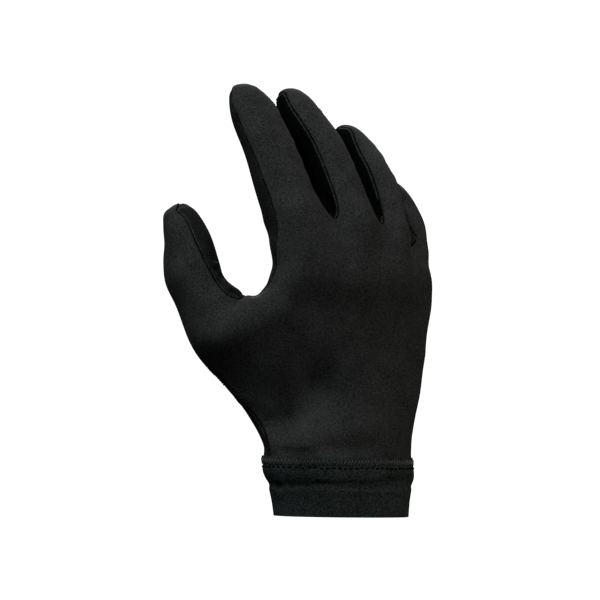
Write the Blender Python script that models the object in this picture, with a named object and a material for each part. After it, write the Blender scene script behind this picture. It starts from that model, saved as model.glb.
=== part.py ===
"""Running glove for a right hand, in the shape it has when worn.

Two stretch-knit panels (back and palm) are joined along the seam that runs from the cuff round
the thumb, up the outer side of the index finger and down the outer side of the little finger.
Three fourchettes are let in between the fingers, and a double-layer elastic cuff closes the wrist.

Metres. +Z points to the fingertips, -X to the thumb side, -Y to the back of the hand.
The origin is the middle of the wrist opening, on the plane of the cuff's hem.
"""

from enum import IntEnum
from math import copysign, cos, pi, radians, sin
from typing import NamedTuple

import bpy
import numpy as np

# Cloth and seams
FABRIC = 0.0013            # brushed knit of the panels
CUFF_WALL = 0.0020         # double layer of the elastic cuff
SEAM_GAP = 0.0003          # clearance between neighbouring pieces
SEAM_BAND = 0.0010         # folded edge under the zigzag stitches, thickness
SEAM_BAND_PROUD = 0.0004   # how far that band stands out from the cuff
SEAM_BAND_HEIGHT = 0.0044

# Hand
HAND_BREADTH = 0.0925
HAND_DEPTH = 0.0330
PALM_LENGTH = 0.1120       # from the cuff's top edge to the middle finger's base
KNUCKLE_DROP = 0.0030      # how far the clefts between the fingers lie below the finger bases
BACK_CORNER = 0.86         # where the back turns into the side, share of the half breadth
PALM_CORNER = 0.75         # the same for the palm

# Wrist and cuff
WRIST_BREADTH = 0.0786
WRIST_DEPTH = 0.0472
WRIST_SQUARENESS = 2.2     # 2 is an ellipse, more is squarer
CUFF_HEIGHT = 0.0285
CUFF_LEAN = -0.0032        # sideways shift of the cuff's top edge against its hem
RIM_INSET = 0.0003         # the glove body stands in from the cuff's edge

# Digits: length from the base, width across the middle joint
INDEX_LENGTH = 0.0782
INDEX_WIDTH = 0.0254
MIDDLE_LENGTH = 0.0850
MIDDLE_WIDTH = 0.0218
RING_LENGTH = 0.0800
RING_WIDTH = 0.0192
LITTLE_LENGTH = 0.0586
LITTLE_WIDTH = 0.0201
THUMB_LENGTH = 0.0915
THUMB_WIDTH = 0.0274
DIGIT_ROUNDNESS = 2.3      # 2 is an ellipse, more is squarer

# Cage columns: over the back of one finger, over one side of it
BACK_COLUMNS = 3
SIDE_COLUMNS = 2
CUFF_SIDES = 36



class Panel(IntEnum):
    """Panel that a face belongs to; the fourchettes count on from the first one."""

    BACK = 0
    PALM = 1
    FIRST_FOURCHETTE = 2


class Digit(NamedTuple):
    """One finger or the thumb; base shares are of the hand's breadth, depth and palm length."""

    name: str
    length: float
    width: float
    across: float       # base, share of HAND_BREADTH from the middle line
    palmward: float     # base, share of HAND_DEPTH
    up: float           # base, share of PALM_LENGTH above the cuff
    spread: float       # degrees towards +X
    pitch: float        # degrees towards the palm
    bends: tuple        # degrees at the two further joints
    joints: tuple       # where those joints lie, share of the length
    flatness: float     # depth as a share of the width
    roll: float         # degrees the back of the digit turns about its own axis
    twist: float        # degrees of that roll still missing at the base
    tilt: float         # slope of the base ring towards the palm
    outer_seam: float   # degrees from the back to the seam on the -X side


class Ring(NamedTuple):
    """One ring round a digit."""

    along: float        # share of the digit's length
    width: float        # share of the digit's width
    depth: float        # share of the digit's depth
    back_corner: float  # degrees from the back to the edge of the back panel
    palm_corner: float  # degrees from the palm to the edge of the palm panel
    lean: float         # slope of the ring towards the web
    pad: float          # depth on the palm side against that on the back


class Section(NamedTuple):
    """One ring round the hand; across is in shares of HAND_BREADTH, depth of HAND_DEPTH."""

    up: float           # share of PALM_LENGTH above the cuff
    thumb_side: float
    little_side: float
    back: float
    palm: float
    back_square: float
    palm_square: float
    little_fold: float  # how far the little-finger side leans to the palm
    thumb_fold: float   # the same on the thumb side
    little_drop: float  # how far the ring drops on the little-finger side, share of PALM_LENGTH
    ball: float         # how far the ball of the thumb stands out


class Swell(NamedTuple):
    """One bulge (plus) or dent (minus) of the worn cloth."""

    side: int           # Panel.BACK or Panel.PALM
    across: float       # share of HAND_BREADTH from the middle line
    up: float           # share of PALM_LENGTH above the cuff
    reach_across: float
    reach_up: float
    height: float       # share of HAND_DEPTH


class Level(NamedTuple):
    """One level of the cuff."""

    up: float           # share of CUFF_HEIGHT
    size: float         # share of the wrist's breadth and depth
    lean: float         # share of CUFF_LEAN
    swell: float        # share of CUFF_WALL, outwards


FINGERS = (
    #     name, length, width, across, palmward, up,
    #     spread, pitch, bends, joints, flatness, roll, twist, tilt, outer seam
    Digit("index", INDEX_LENGTH, INDEX_WIDTH, -0.305, 0.12, 1.003,
          -6.4, 24.5, (7, 6.5), (0.36, 0.70), 0.96, 0, 0, -0.22, 74),
    Digit("middle", MIDDLE_LENGTH, MIDDLE_WIDTH, -0.006, -0.03, 0.998,
          -1.2, 28, (18, 3.5), (0.36, 0.70), 1.04, 0, 0, -0.22, 90),
    Digit("ring", RING_LENGTH, RING_WIDTH, 0.279, 0.12, 0.948,
          13.0, 35.0, (14, 13), (0.36, 0.70), 1.03, 0, 0, -0.22, 90),
    Digit("little", LITTLE_LENGTH, LITTLE_WIDTH, 0.466, 0.39, 0.855,
          15.1, 29.1, (21, 16), (0.36, 0.70), 0.96, 0, 0, -0.22, 90),
)
THUMB = Digit("thumb", THUMB_LENGTH, THUMB_WIDTH, -0.475, 0.455, 0.390,
              -39.6, 22.5, (17.8, 18.8), (0.22, 0.64), 0.95, -90, 60, 0, 90)

FINGER_RINGS = (
    #    along width depth back palm lean pad
    Ring(0.00, 1.12, 1.26, 46, 48, 0, 1.0),
    Ring(0.12, 1.01, 1.12, 46, 48, 0, 1.0),
    Ring(0.29, 1.01, 1.02, 46, 48, 0, 1.0),
    Ring(0.47, 0.985, 0.98, 48, 48, 0, 1.0),
    Ring(0.66, 0.96, 0.93, 51, 51, 0, 1.0),
    Ring(0.87, 0.885, 0.85, 56, 56, 0, 1.0),
    Ring(1.00, 0.62, 0.58, 68, 68, 0, 1.0),
)
THUMB_RINGS = (
    Ring(0.00, 1.60, 1.50, 46, 48, 0, 1.0),
    Ring(0.17, 1.36, 1.30, 46, 48, 0.60, 0.80),
    Ring(0.31, 1.31, 1.18, 46, 48, 0.46, 0.88),
    Ring(0.48, 1.15, 1.06, 46, 48, 0.15, 0.96),
    Ring(0.67, 1.06, 0.98, 50, 51, 0, 1.0),
    Ring(0.87, 0.89, 0.86, 56, 58, 0, 1.0),
    Ring(1.00, 0.60, 0.57, 68, 70, 0, 1.0),
)
THUMB_FROM, THUMB_TO = 2, 5       # hand rings between which the thumb leaves the hand

SECTIONS = (
    #       up     thumb  little  back  palm  bsq  psq  lfold tfold drop ball
    Section(0.003, -0.464, 0.398, 0.71, 0.70, 2.2, 2.2, 0.00, 0.00, 0.00, 0.00),
    Section(0.076, -0.478, 0.399, 0.67, 0.72, 2.3, 2.2, 0.00, 0.06, 0.00, 0.05),
    Section(0.165, -0.515, 0.425, 0.61, 0.74, 2.4, 2.3, 0.00, 0.18, 0.00, 0.15),
    Section(0.326, -0.573, 0.484, 0.55, 0.71, 2.5, 2.4, 0.06, 0.33, 0.00, 0.26),
    Section(0.513, -0.602, 0.520, 0.51, 0.64, 2.6, 2.5, 0.15, 0.36, 0.02, 0.24),
    Section(0.690, -0.537, 0.570, 0.49, 0.56, 2.7, 2.6, 0.24, 0.27, 0.055, 0.10),
    Section(0.781, -0.442, 0.577, 0.48, 0.52, 2.8, 2.7, 0.33, 0.12, 0.09, 0.00),
    Section(0.879, -0.440, 0.562, 0.46, 0.50, 2.8, 2.8, 0.39, 0.09, 0.14, 0.00),
)

SWELLS = (
    #     side  across   up    reach_a reach_u height
    Swell(Panel.PALM, -0.30, 0.34, 0.20, 0.26, 0.13),    # ball of the thumb
    Swell(Panel.PALM, 0.34, 0.30, 0.17, 0.30, 0.10),     # heel of the hand
    Swell(Panel.PALM, 0.04, 0.55, 0.20, 0.24, -0.10),    # hollow of the palm
    Swell(Panel.BACK, -0.26, 0.90, 0.10, 0.10, 0.06),    # index knuckle
    Swell(Panel.BACK, -0.01, 0.93, 0.10, 0.10, 0.07),    # middle knuckle
    Swell(Panel.BACK, 0.22, 0.88, 0.09, 0.10, 0.05),     # ring knuckle
    Swell(Panel.BACK, -0.34, 0.36, 0.13, 0.20, -0.08),   # valley beside the thumb
    Swell(Panel.BACK, -0.30, 0.20, 0.14, 0.06, -0.04),   # dent above the wrist bone
    Swell(Panel.BACK, -0.16, 0.12, 0.24, 0.06, 0.04),    # bulge above the cuff
    Swell(Panel.BACK, -0.20, 0.03, 0.20, 0.035, -0.03),  # fold at the cuff's edge
)

CUFF_LEVELS = (
    #     up    size  lean  swell
    Level(0.00, 0.897, 0.06, 0.00),
    Level(0.05, 0.902, 0.08, 0.10),
    Level(0.22, 0.914, 0.18, 0.12),
    Level(0.38, 0.934, 0.28, 0.16),
    Level(0.46, 0.944, 0.30, 0.18),
    Level(0.53, 0.962, 0.34, -0.22),
    Level(0.62, 0.984, 0.46, 0.10),
    Level(0.74, 1.000, 0.70, 0.22),
    Level(1.00, 1.000, 1.00, 0.00),
)

CUFF_LINING = (0, 3, 7, 8)        # the levels that the cuff's inner layer follows

MATERIALS = {
    #                (red, green, blue), roughness
    "brushed_knit": ((0.014, 0.0145, 0.015), 0.82),
    "palm_knit": ((0.013, 0.0135, 0.014), 0.80),
    "fourchette_knit": ((0.011, 0.0115, 0.012), 0.86),
    "elastic_rib": ((0.010, 0.0115, 0.0112), 0.78),
    "seam_thread": ((0.018, 0.0195, 0.0195), 0.70),
}


def clear_scene():
    """Remove whatever the scene holds."""
    for old in list(bpy.data.objects):
        bpy.data.objects.remove(old, do_unlink=True)


def smooth_step(value):
    """Ease from 0 to 1."""
    value = min(max(value, 0.0), 1.0)
    return value * value * (3 - 2 * value)


def oval(angle, squareness):
    """Across and back shares of an oval, at an angle from its back."""
    def part(value):
        return copysign(abs(value) ** (2 / squareness), value)
    return part(sin(angle)), part(cos(angle))


class DigitPath:
    """Bent middle line of a digit, with its frame at every share of the length."""

    STEPS = 120
    SOFTNESS = 0.11
    TWIST_END = 0.45
    TIP_START = 0.34
    TIP_RISE = 0.21

    def __init__(self, digit, rings):
        self.digit = digit
        self.rings = rings
        self.depth = digit.width * digit.flatness
        spread, pitch = radians(digit.spread), radians(digit.pitch)
        self.forward = np.array([sin(spread) * cos(pitch), sin(pitch), cos(spread) * cos(pitch)])
        back = np.array([0.0, -1.0, 0.0])
        back -= back.dot(self.forward) * self.forward
        back /= np.linalg.norm(back)
        across = np.cross(self.forward, back)
        roll = radians(digit.roll)
        self.back = back * cos(roll) + across * sin(roll)
        self.across = across * cos(roll) - back * sin(roll)
        self.stations = self.walk()

    def bend(self, share):
        """Angle that the joints have added up to this share of the length."""
        total = 0.0
        for joint, angle in zip(self.digit.joints, self.digit.bends):
            total += radians(angle) * smooth_step((share - joint + self.SOFTNESS) / (2 * self.SOFTNESS))
        return total

    def walk(self):
        """Centre, forward, back and across direction at every step."""
        digit = self.digit
        point = np.array([digit.across * HAND_BREADTH, digit.palmward * HAND_DEPTH,
                          CUFF_HEIGHT + digit.up * PALM_LENGTH])
        length = digit.length - self.TIP_START * digit.width
        stations = []
        for step in range(self.STEPS + 1):
            share = step / self.STEPS
            angle = self.bend(share)
            twist = radians(digit.twist) * (1 - smooth_step(share / self.TWIST_END))
            forward = cos(angle) * self.forward - sin(angle) * self.back
            lifted = cos(angle) * self.back + sin(angle) * self.forward
            back = lifted * cos(twist) + self.across * sin(twist)
            across = self.across * cos(twist) - lifted * sin(twist)
            stations.append((point.copy(), forward, back, across))
            point = point + forward * length / self.STEPS
        return stations

    def ring_points(self, index):
        """Cage points of one ring: back edge to edge, side, palm edge to edge, side."""
        ring = self.rings[index]
        centre, forward, back, across = self.stations[round(ring.along * self.STEPS)]
        half_width = self.digit.width * ring.width / 2
        half_depth = self.depth * ring.depth / 2
        low, high = radians(ring.back_corner), pi - radians(ring.palm_corner)
        side = (low + high) / 2
        outer = side if self.digit.outer_seam == 90 else radians(self.digit.outer_seam)
        angles = [low * (2 * i / BACK_COLUMNS - 1) for i in range(BACK_COLUMNS + 1)]
        angles.append(side)
        angles += [pi - (pi - high) * (1 - 2 * i / BACK_COLUMNS) for i in range(BACK_COLUMNS + 1)]
        angles.append(-outer)
        points = []
        for angle in angles:
            x, y = oval(angle, DIGIT_ROUNDNESS)
            pad = ring.pad if y < 0 else 1.0
            offset = across * half_width * x + back * half_depth * pad * y
            slide = ring.lean * half_width * max(x, 0.0)
            if index == 0:
                slide += self.digit.tilt * offset.dot(back)
            points.append(centre + offset + forward * slide)
        return points

    def tip(self):
        """How far the middle of the tip stands beyond the last ring."""
        return self.stations[-1][1] * self.digit.width * self.TIP_RISE


class Cage:
    """Coarse skin of the hand: points, four-sided faces and the panel each face belongs to."""

    def __init__(self):
        self.points = []
        self.faces = []
        self.panels = []
        self.fingers = [DigitPath(digit, FINGER_RINGS) for digit in FINGERS]
        self.thumb = DigitPath(THUMB, THUMB_RINGS)
        self.back_count = len(FINGERS) * BACK_COLUMNS
        self.count = 2 * (self.back_count + SIDE_COLUMNS)

    def add(self, point):
        """Keep a point and give its number."""
        self.points.append(np.array(point, dtype=float))
        return len(self.points) - 1

    def face(self, corners, panel):
        """Keep a face."""
        self.faces.append(tuple(corners))
        self.panels.append(panel)

    def back_index(self, finger, column):
        """Place of a finger's back column in a hand ring."""
        return BACK_COLUMNS * finger + column

    def palm_index(self, finger, column):
        """Place of a finger's palm column in a hand ring."""
        return self.back_count + 2 + BACK_COLUMNS * (len(FINGERS) - 1 - finger) + column

    def top_ring(self, bases):
        """Ring through the finger bases; neighbours share their corner points."""
        sums = [np.zeros(3) for _ in range(self.count)]
        hits = [0] * self.count
        palm_start = BACK_COLUMNS + SIDE_COLUMNS
        for finger, base in enumerate(bases):
            for column in range(BACK_COLUMNS + 1):
                for place, point in ((self.back_index(finger, column), base[column]),
                                     (self.palm_index(finger, column), base[palm_start + column])):
                    sums[place] += point
                    hits[place] += 1
        ring = [total / max(hit, 1) for total, hit in zip(sums, hits)]
        for place, hit in enumerate(hits):
            if hit == 2:
                ring[place][2] -= KNUCKLE_DROP
        ring[self.back_count + 1] = bases[-1][BACK_COLUMNS + 1].copy()
        ring[self.count - 1] = bases[0][-1].copy()
        return ring

    def section_ring(self, section, top):
        """Ring round the hand whose columns follow those of the top ring."""
        left, right = section.thumb_side * HAND_BREADTH, section.little_side * HAND_BREADTH
        middle, half = (left + right) / 2, (right - left) / 2
        ring = []
        sides = ((0, BACK_CORNER, -section.back, section.back_square),
                 (self.back_count + 2, PALM_CORNER, section.palm, section.palm_square))
        for first, corner, depth, square in sides:
            columns = [top[first + i][0] for i in range(self.back_count + 1)]
            low, high = min(columns), max(columns)
            for value in columns:
                share = corner * ((value - low) / (high - low) * 2 - 1)
                y = depth * HAND_DEPTH * (1 - abs(share) ** square) ** (1 / square)
                if first:
                    y += section.ball * max(-share, 0) * HAND_DEPTH
                ring.append(np.array([middle + half * share, y, 0.0]))
            end = 1 if first == 0 else -1
            ring.append(np.array([middle + half * end, 0.0, 0.0]))
        for point in ring:
            share = (point[0] - middle) / half
            fold = section.little_fold if share > 0 else section.thumb_fold
            point[1] += fold * share * share * HAND_DEPTH
            drop = section.little_drop * max(share, 0) ** 1.5
            point[2] = CUFF_HEIGHT + (section.up - drop) * PALM_LENGTH
        return ring

    def tube(self, path, ring, panels):
        """Skin a digit from its first ring of point numbers to its tip."""
        for index in range(1, len(path.rings)):
            upper = [self.add(point) for point in path.ring_points(index)]
            for column, panel in enumerate(panels):
                after = (column + 1) % len(ring)
                self.face((ring[column], ring[after], upper[after], upper[column]), panel)
            ring = upper
        palm_start = BACK_COLUMNS + SIDE_COLUMNS
        back = ring[:BACK_COLUMNS + 1]
        palm = ring[palm_start:palm_start + BACK_COLUMNS + 1][::-1]
        middle = [ring[-1]]
        for back_point, palm_point in zip(back[1:-1], palm[1:-1]):
            middle.append(self.add((self.points[back_point] + self.points[palm_point]) / 2 + path.tip()))
        middle.append(ring[BACK_COLUMNS + 1])
        for i in range(BACK_COLUMNS):
            self.face((back[i], back[i + 1], middle[i + 1], middle[i]), Panel.BACK)
            self.face((middle[i], middle[i + 1], palm[i + 1], palm[i]), Panel.PALM)

    def build(self):
        """Skin the hand, the four fingers and the thumb."""
        bases = [path.ring_points(0) for path in self.fingers]
        top = self.top_ring(bases)
        rows = [[self.add(point) for point in self.section_ring(section, top)] for section in SECTIONS]
        rows.append([self.add(point) for point in top])
        last, count = self.count - 1, self.count
        for level, (lower, upper) in enumerate(zip(rows, rows[1:])):
            for column in range(count):
                if column >= last - 1 and THUMB_FROM <= level < THUMB_TO:
                    continue
                after = (column + 1) % count
                panel = Panel.BACK if column <= self.back_count or column == last else Panel.PALM
                self.face((lower[column], lower[after], upper[after], upper[column]), panel)
        clefts = []
        for left, right in zip(bases, bases[1:]):
            point = (left[BACK_COLUMNS + 1] + right[-1]) / 2
            point[2] -= KNUCKLE_DROP
            clefts.append(self.add(point))
        for finger, path in enumerate(self.fingers):
            self.tube(path, self.finger_ring(finger, rows[-1], clefts), self.finger_panels(finger))
        hole = [rows[level][0] for level in range(THUMB_FROM, THUMB_TO + 1)]
        hole.append(rows[THUMB_TO][last])
        hole += [rows[level][last - 1] for level in range(THUMB_TO, THUMB_FROM - 1, -1)]
        hole.append(rows[THUMB_FROM][last])
        panels = [Panel.BACK] * 4 + [Panel.PALM] * 5 + [Panel.BACK]
        self.tube(self.thumb, self.thumb_root(hole, panels), panels)
        return self

    def thumb_root(self, hole, panels):
        """Ring half way between the hole in the hand and the thumb's first free ring."""
        free = self.thumb.ring_points(1)
        root = [(self.points[i] + point) / 2 for i, point in zip(hole, free)]
        middle = sum(root) / len(root)
        root = [self.add(middle + (point - middle) * 1.07) for point in root]
        for column, panel in enumerate(panels):
            after = (column + 1) % len(hole)
            self.face((hole[column], hole[after], root[after], root[column]), panel)
        return root

    def finger_ring(self, finger, top, clefts):
        """Point numbers round a finger's base."""
        ring = [top[self.back_index(finger, i)] for i in range(BACK_COLUMNS + 1)]
        ring.append(clefts[finger] if finger < len(clefts) else top[self.back_count + 1])
        ring += [top[self.palm_index(finger, i)] for i in range(BACK_COLUMNS + 1)]
        ring.append(clefts[finger - 1] if finger else top[self.count - 1])
        return ring

    def finger_panels(self, finger):
        """Panel of each column round a finger."""
        inner = Panel.FIRST_FOURCHETTE + finger
        before = Panel.FIRST_FOURCHETTE + finger - 1
        panels = [Panel.BACK] * 3 + [inner] * 2 + [Panel.PALM] * 3 + [before] * 2
        if finger == 0:
            panels[-2:] = [Panel.PALM, Panel.BACK]
        if finger == len(FINGERS) - 1:
            panels[3:5] = [Panel.BACK, Panel.PALM]
        return panels


def smooth_skin(cage):
    """Subdivide the cage once; give its points, faces and panels."""
    mesh = bpy.data.meshes.new("skin")
    mesh.from_pydata([tuple(point) for point in cage.points], [], cage.faces)
    mesh.polygons.foreach_set("material_index", cage.panels)
    holder = bpy.data.objects.new("skin", mesh)
    bpy.context.scene.collection.objects.link(holder)
    smoother = holder.modifiers.new("smooth", "SUBSURF")
    smoother.levels = smoother.render_levels = 1
    smoother.use_limit_surface = False
    done = holder.evaluated_get(bpy.context.evaluated_depsgraph_get()).to_mesh()
    points = np.array([vertex.co[:] for vertex in done.vertices])
    faces = [tuple(polygon.vertices) for polygon in done.polygons]
    panels = [polygon.material_index for polygon in done.polygons]
    bpy.data.objects.remove(holder, do_unlink=True)
    bpy.data.meshes.remove(mesh)
    return points, faces, panels


def point_normals(points, faces):
    """Outward direction at every point."""
    normals = np.zeros_like(points)
    for face in faces:
        a, b, c, d = (points[i] for i in face)
        normal = np.cross(c - a, d - b)
        for corner in face:
            normals[corner] += normal
    lengths = np.linalg.norm(normals, axis=1, keepdims=True)
    return normals / np.where(lengths > 0, lengths, 1)


def soften(directions, faces):
    """Average each direction with those of the points round it, so that walls do not twist."""
    sums = directions.copy()
    for face in faces:
        middle = sum(directions[i] for i in face) / len(face)
        for i in face:
            sums[i] += middle
    lengths = np.linalg.norm(sums, axis=1, keepdims=True)
    return sums / np.where(lengths > 0, lengths, 1)


def wrist_reach(direction_x, direction_y, size):
    """Distance from the wrist's middle line to its outline, in a direction."""
    across = abs(direction_x) / (WRIST_BREADTH / 2 * size)
    depth = abs(direction_y) / (WRIST_DEPTH / 2 * size)
    return (across ** WRIST_SQUARENESS + depth ** WRIST_SQUARENESS) ** (-1 / WRIST_SQUARENESS)


def seat_rim(points, faces):
    """Set the open rim of the skin on the wrist's outline, level with the cuff's top edge."""
    rim = open_points(faces)
    for i in rim:
        x, y = points[i][0] - CUFF_LEAN, points[i][1]
        reach = wrist_reach(x, y, 1.0)
        length = (x * x + y * y) ** 0.5
        share = 1 - RIM_INSET / (reach * length)
        points[i] = (CUFF_LEAN + x * reach * share, y * reach * share, CUFF_HEIGHT + SEAM_GAP)


def open_points(faces):
    """Points on the open rim."""
    seen = {}
    for face in faces:
        for a, b in zip(face, face[1:] + face[:1]):
            key = (min(a, b), max(a, b))
            seen[key] = seen.get(key, 0) + 1
    return {i for key, hits in seen.items() if hits == 1 for i in key}


def dress(points, faces):
    """Press the bulges and dents into the skin."""
    normals = point_normals(points, faces)
    moves = np.zeros(len(points))
    for swell in SWELLS:
        facing = normals[:, 1] * (1 if swell.side == Panel.PALM else -1)
        across = (points[:, 0] / HAND_BREADTH - swell.across) / swell.reach_across
        up = ((points[:, 2] - CUFF_HEIGHT) / PALM_LENGTH - swell.up) / swell.reach_up
        moves += swell.height * HAND_DEPTH * np.clip(facing, 0, 1) * np.exp(-across ** 2 - up ** 2)
    points += normals * moves[:, None]


def panel_solid(points, normals, faces):
    """Give one panel its thickness and close its edge, half a seam gap inside the seam line."""
    used = sorted({i for face in faces for i in face})
    edge_faces = {}
    for face in faces:
        for a, b in zip(face, face[1:] + face[:1]):
            edge_faces[(a, b)] = face
    border = [edge for edge in edge_faces if (edge[1], edge[0]) not in edge_faces]
    inward = {}
    along = {}
    for a, b in border:
        face = edge_faces[(a, b)]
        centre = sum(points[i] for i in face) / len(face)
        line = points[b] - points[a]
        for i in (a, b):
            along[i] = along.get(i, 0) + line
            inward[i] = inward.get(i, 0) + centre - (points[a] + points[b]) / 2
    place = {}
    solid = []
    for i in used:
        point = points[i].copy()
        if i in inward:
            pull = inward[i] - normals[i] * inward[i].dot(normals[i])
            line = along[i] / np.linalg.norm(along[i])
            pull = pull - line * pull.dot(line)
            point = point + pull / np.linalg.norm(pull) * SEAM_GAP / 2
        place[i] = len(solid)
        solid.append(point)
    inner = len(solid)
    solid += [solid[place[i]] - normals[i] * FABRIC for i in used]
    shell = [tuple(place[i] for i in face) for face in faces]
    shell += [tuple(inner + place[i] for i in reversed(face)) for face in faces]
    for a, b in border:
        outer_a, outer_b, inner_a, inner_b = place[a], place[b], inner + place[a], inner + place[b]
        if a < b:
            shell += [(outer_b, outer_a, inner_b), (outer_a, inner_a, inner_b)]
        else:
            shell += [(outer_b, outer_a, inner_a), (outer_b, inner_a, inner_b)]
    return solid, shell


def loft(rings):
    """Closed tube wall through rings of equal count: first up the outside, then down the inside."""
    count = len(rings[0])
    points = [point for ring in rings for point in ring]
    faces = []
    for level in range(len(rings)):
        after = (level + 1) % len(rings)
        for i in range(count):
            j = (i + 1) % count
            faces.append((level * count + i, level * count + j, after * count + j, after * count + i))
    return points, faces


def cuff_level(up):
    """Size, lean and swell of the cuff at a share of its height."""
    for low, high in zip(CUFF_LEVELS, CUFF_LEVELS[1:]):
        if up <= high.up:
            share = (up - low.up) / (high.up - low.up)
            return [a + (b - a) * share for a, b in zip(low[1:], high[1:])]
    return list(CUFF_LEVELS[-1][1:])


def cuff_ring(up, offset):
    """Ring round the wrist at a share of the cuff's height, set off from its outline."""
    size, lean, swell = cuff_level(up)
    ring = []
    for i in range(CUFF_SIDES):
        angle = 2 * pi * i / CUFF_SIDES
        x, y = cos(angle) * WRIST_BREADTH / 2, sin(angle) * WRIST_DEPTH / 2
        reach = wrist_reach(x, y, size)
        share = reach + (swell * CUFF_WALL + offset) / (x * x + y * y) ** 0.5
        ring.append((CUFF_LEAN * lean + x * share, y * share, CUFF_HEIGHT * up))
    return ring


def cuff_band():
    """Double-layer cuff with the crease round its middle and a step for the seam band."""
    step = 1 - SEAM_BAND_HEIGHT / CUFF_HEIGHT
    depth = SEAM_BAND - SEAM_BAND_PROUD + SEAM_GAP
    outside = [cuff_ring(level.up, 0) for level in CUFF_LEVELS if level.up < step]
    outside.append(cuff_ring(step - SEAM_GAP / CUFF_HEIGHT, 0))
    outside.append(cuff_ring(step, -depth))
    outside.append(cuff_ring(1.0, -depth))
    inside = [cuff_ring(CUFF_LEVELS[i].up, -CUFF_WALL) for i in CUFF_LINING][::-1]
    return loft(outside + inside)


def seam_band():
    """Folded edge that the zigzag stitches hold, round the top of the cuff."""
    step = 1 - SEAM_BAND_HEIGHT / CUFF_HEIGHT
    inner = SEAM_BAND_PROUD - SEAM_BAND
    outside = [cuff_ring(step + share * (1 - step), SEAM_BAND_PROUD - drop * SEAM_BAND)
               for share, drop in ((0.06, 0.35), (0.25, 0.0), (0.85, 0.0), (1.0, 0.35))]
    inside = [cuff_ring(1.0, inner), cuff_ring(step + 0.06 * (1 - step), inner)]
    return loft(outside + inside)


def material(name):
    """Shader of one cloth."""
    colour, roughness = MATERIALS[name]
    shader = bpy.data.materials.get(name) or bpy.data.materials.new(name)
    shader.use_nodes = True
    surface = shader.node_tree.nodes["Principled BSDF"]
    surface.inputs["Base Color"].default_value = (*colour, 1)
    surface.inputs["Roughness"].default_value = roughness
    surface.inputs["Metallic"].default_value = 0
    return shader


def add_piece(name, points, faces, cloth):
    """Add one named solid."""
    mesh = bpy.data.meshes.new(name)
    mesh.from_pydata([tuple(point) for point in points], [], faces)
    mesh.validate()
    mesh.polygons.foreach_set("use_smooth", [True] * len(mesh.polygons))
    mesh.materials.append(material(cloth))
    piece = bpy.data.objects.new(name, mesh)
    bpy.context.scene.collection.objects.link(piece)
    return piece


def build():
    """Build every piece of the glove."""
    clear_scene()
    points, faces, panels = smooth_skin(Cage().build())
    dress(points, faces)
    seat_rim(points, faces)
    normals = soften(point_normals(points, faces), faces)
    rim = open_points(faces)
    for i in rim:
        normals[i][2] = 0
        normals[i] /= np.linalg.norm(normals[i])
    names = {Panel.BACK: ("back_panel", "brushed_knit"), Panel.PALM: ("palm_panel", "palm_knit")}
    for i, (left, right) in enumerate(zip(FINGERS, FINGERS[1:])):
        names[Panel.FIRST_FOURCHETTE + i] = (f"fourchette_{left.name}_{right.name}", "fourchette_knit")
    for panel, (name, cloth) in names.items():
        own = [face for face, label in zip(faces, panels) if label == panel]
        add_piece(name, *panel_solid(points, normals, own), cloth)
    add_piece("cuff_band", *cuff_band(), "elastic_rib")
    add_piece("cuff_seam", *seam_band(), "seam_thread")


build()
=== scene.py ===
"""Dresses the sports glove: creased brushed-knit panels, sewn seams, the elastic cuff and a plain studio."""

import logging
import math
from collections.abc import Callable, Iterable, Sequence
from dataclasses import dataclass, field
from enum import Enum

import bmesh
import bpy
import numpy as np
from mathutils import Matrix, Vector, noise
from mathutils.bvhtree import BVHTree
from mathutils.kdtree import KDTree


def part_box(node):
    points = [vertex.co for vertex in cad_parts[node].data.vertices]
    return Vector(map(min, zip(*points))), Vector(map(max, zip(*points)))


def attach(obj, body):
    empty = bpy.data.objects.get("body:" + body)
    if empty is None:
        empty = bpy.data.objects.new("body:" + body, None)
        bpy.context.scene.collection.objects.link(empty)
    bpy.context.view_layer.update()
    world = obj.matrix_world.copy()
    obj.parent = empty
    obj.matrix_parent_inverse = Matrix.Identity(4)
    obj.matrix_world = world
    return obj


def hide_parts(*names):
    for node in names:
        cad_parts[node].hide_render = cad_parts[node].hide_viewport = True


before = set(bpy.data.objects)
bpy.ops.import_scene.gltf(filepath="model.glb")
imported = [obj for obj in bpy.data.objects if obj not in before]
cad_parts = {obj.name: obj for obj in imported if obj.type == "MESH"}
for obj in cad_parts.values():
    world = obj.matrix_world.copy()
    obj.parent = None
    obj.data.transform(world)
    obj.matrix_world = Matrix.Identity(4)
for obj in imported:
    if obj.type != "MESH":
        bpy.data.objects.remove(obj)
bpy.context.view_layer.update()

LOG = logging.getLogger("sports_glove")
MM = 0.001
BODY = "root"
TINY = 1e-12  # keeps a division by a length or an area of nothing out of trouble
WAVE_BAND = 0.314  # how far apart the bands of Blender's wave texture lie at scale 1

# The raised lips beside a crease: their height as a share of its depth, and where they lie and how broad
# they are, in widths of the crease.
LIP_HEIGHT, LIP_AT, LIP_WIDTH = 0.45, 2.1, 1.1


class Panel(Enum):
    """The cut pieces of the hand, by the CAD node that each one stands for."""

    BACK = "back_panel"
    PALM = "palm_panel"
    INDEX_MIDDLE = "fourchette_index_middle"
    MIDDLE_RING = "fourchette_middle_ring"
    RING_LITTLE = "fourchette_ring_little"


class FoldForm(Enum):
    """How the cloth stands along a fold's line."""

    RIDGE = "ridge"
    HOLLOW = "hollow"
    CREASE = "crease"


def linear(colour: str) -> tuple[float, float, float, float]:
    """Turns an sRGB hex colour to linear light.

    Args:
        colour: Six hex digits after a hash.

    Returns:
        Red, green, blue and an alpha of one.
    """
    parts = [int(colour[i : i + 2], 16) / 255 for i in (1, 3, 5)]
    red, green, blue = (p / 12.92 if p <= 0.04045 else ((p + 0.055) / 1.055) ** 2.4 for p in parts)
    return red, green, blue, 1.0


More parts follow.
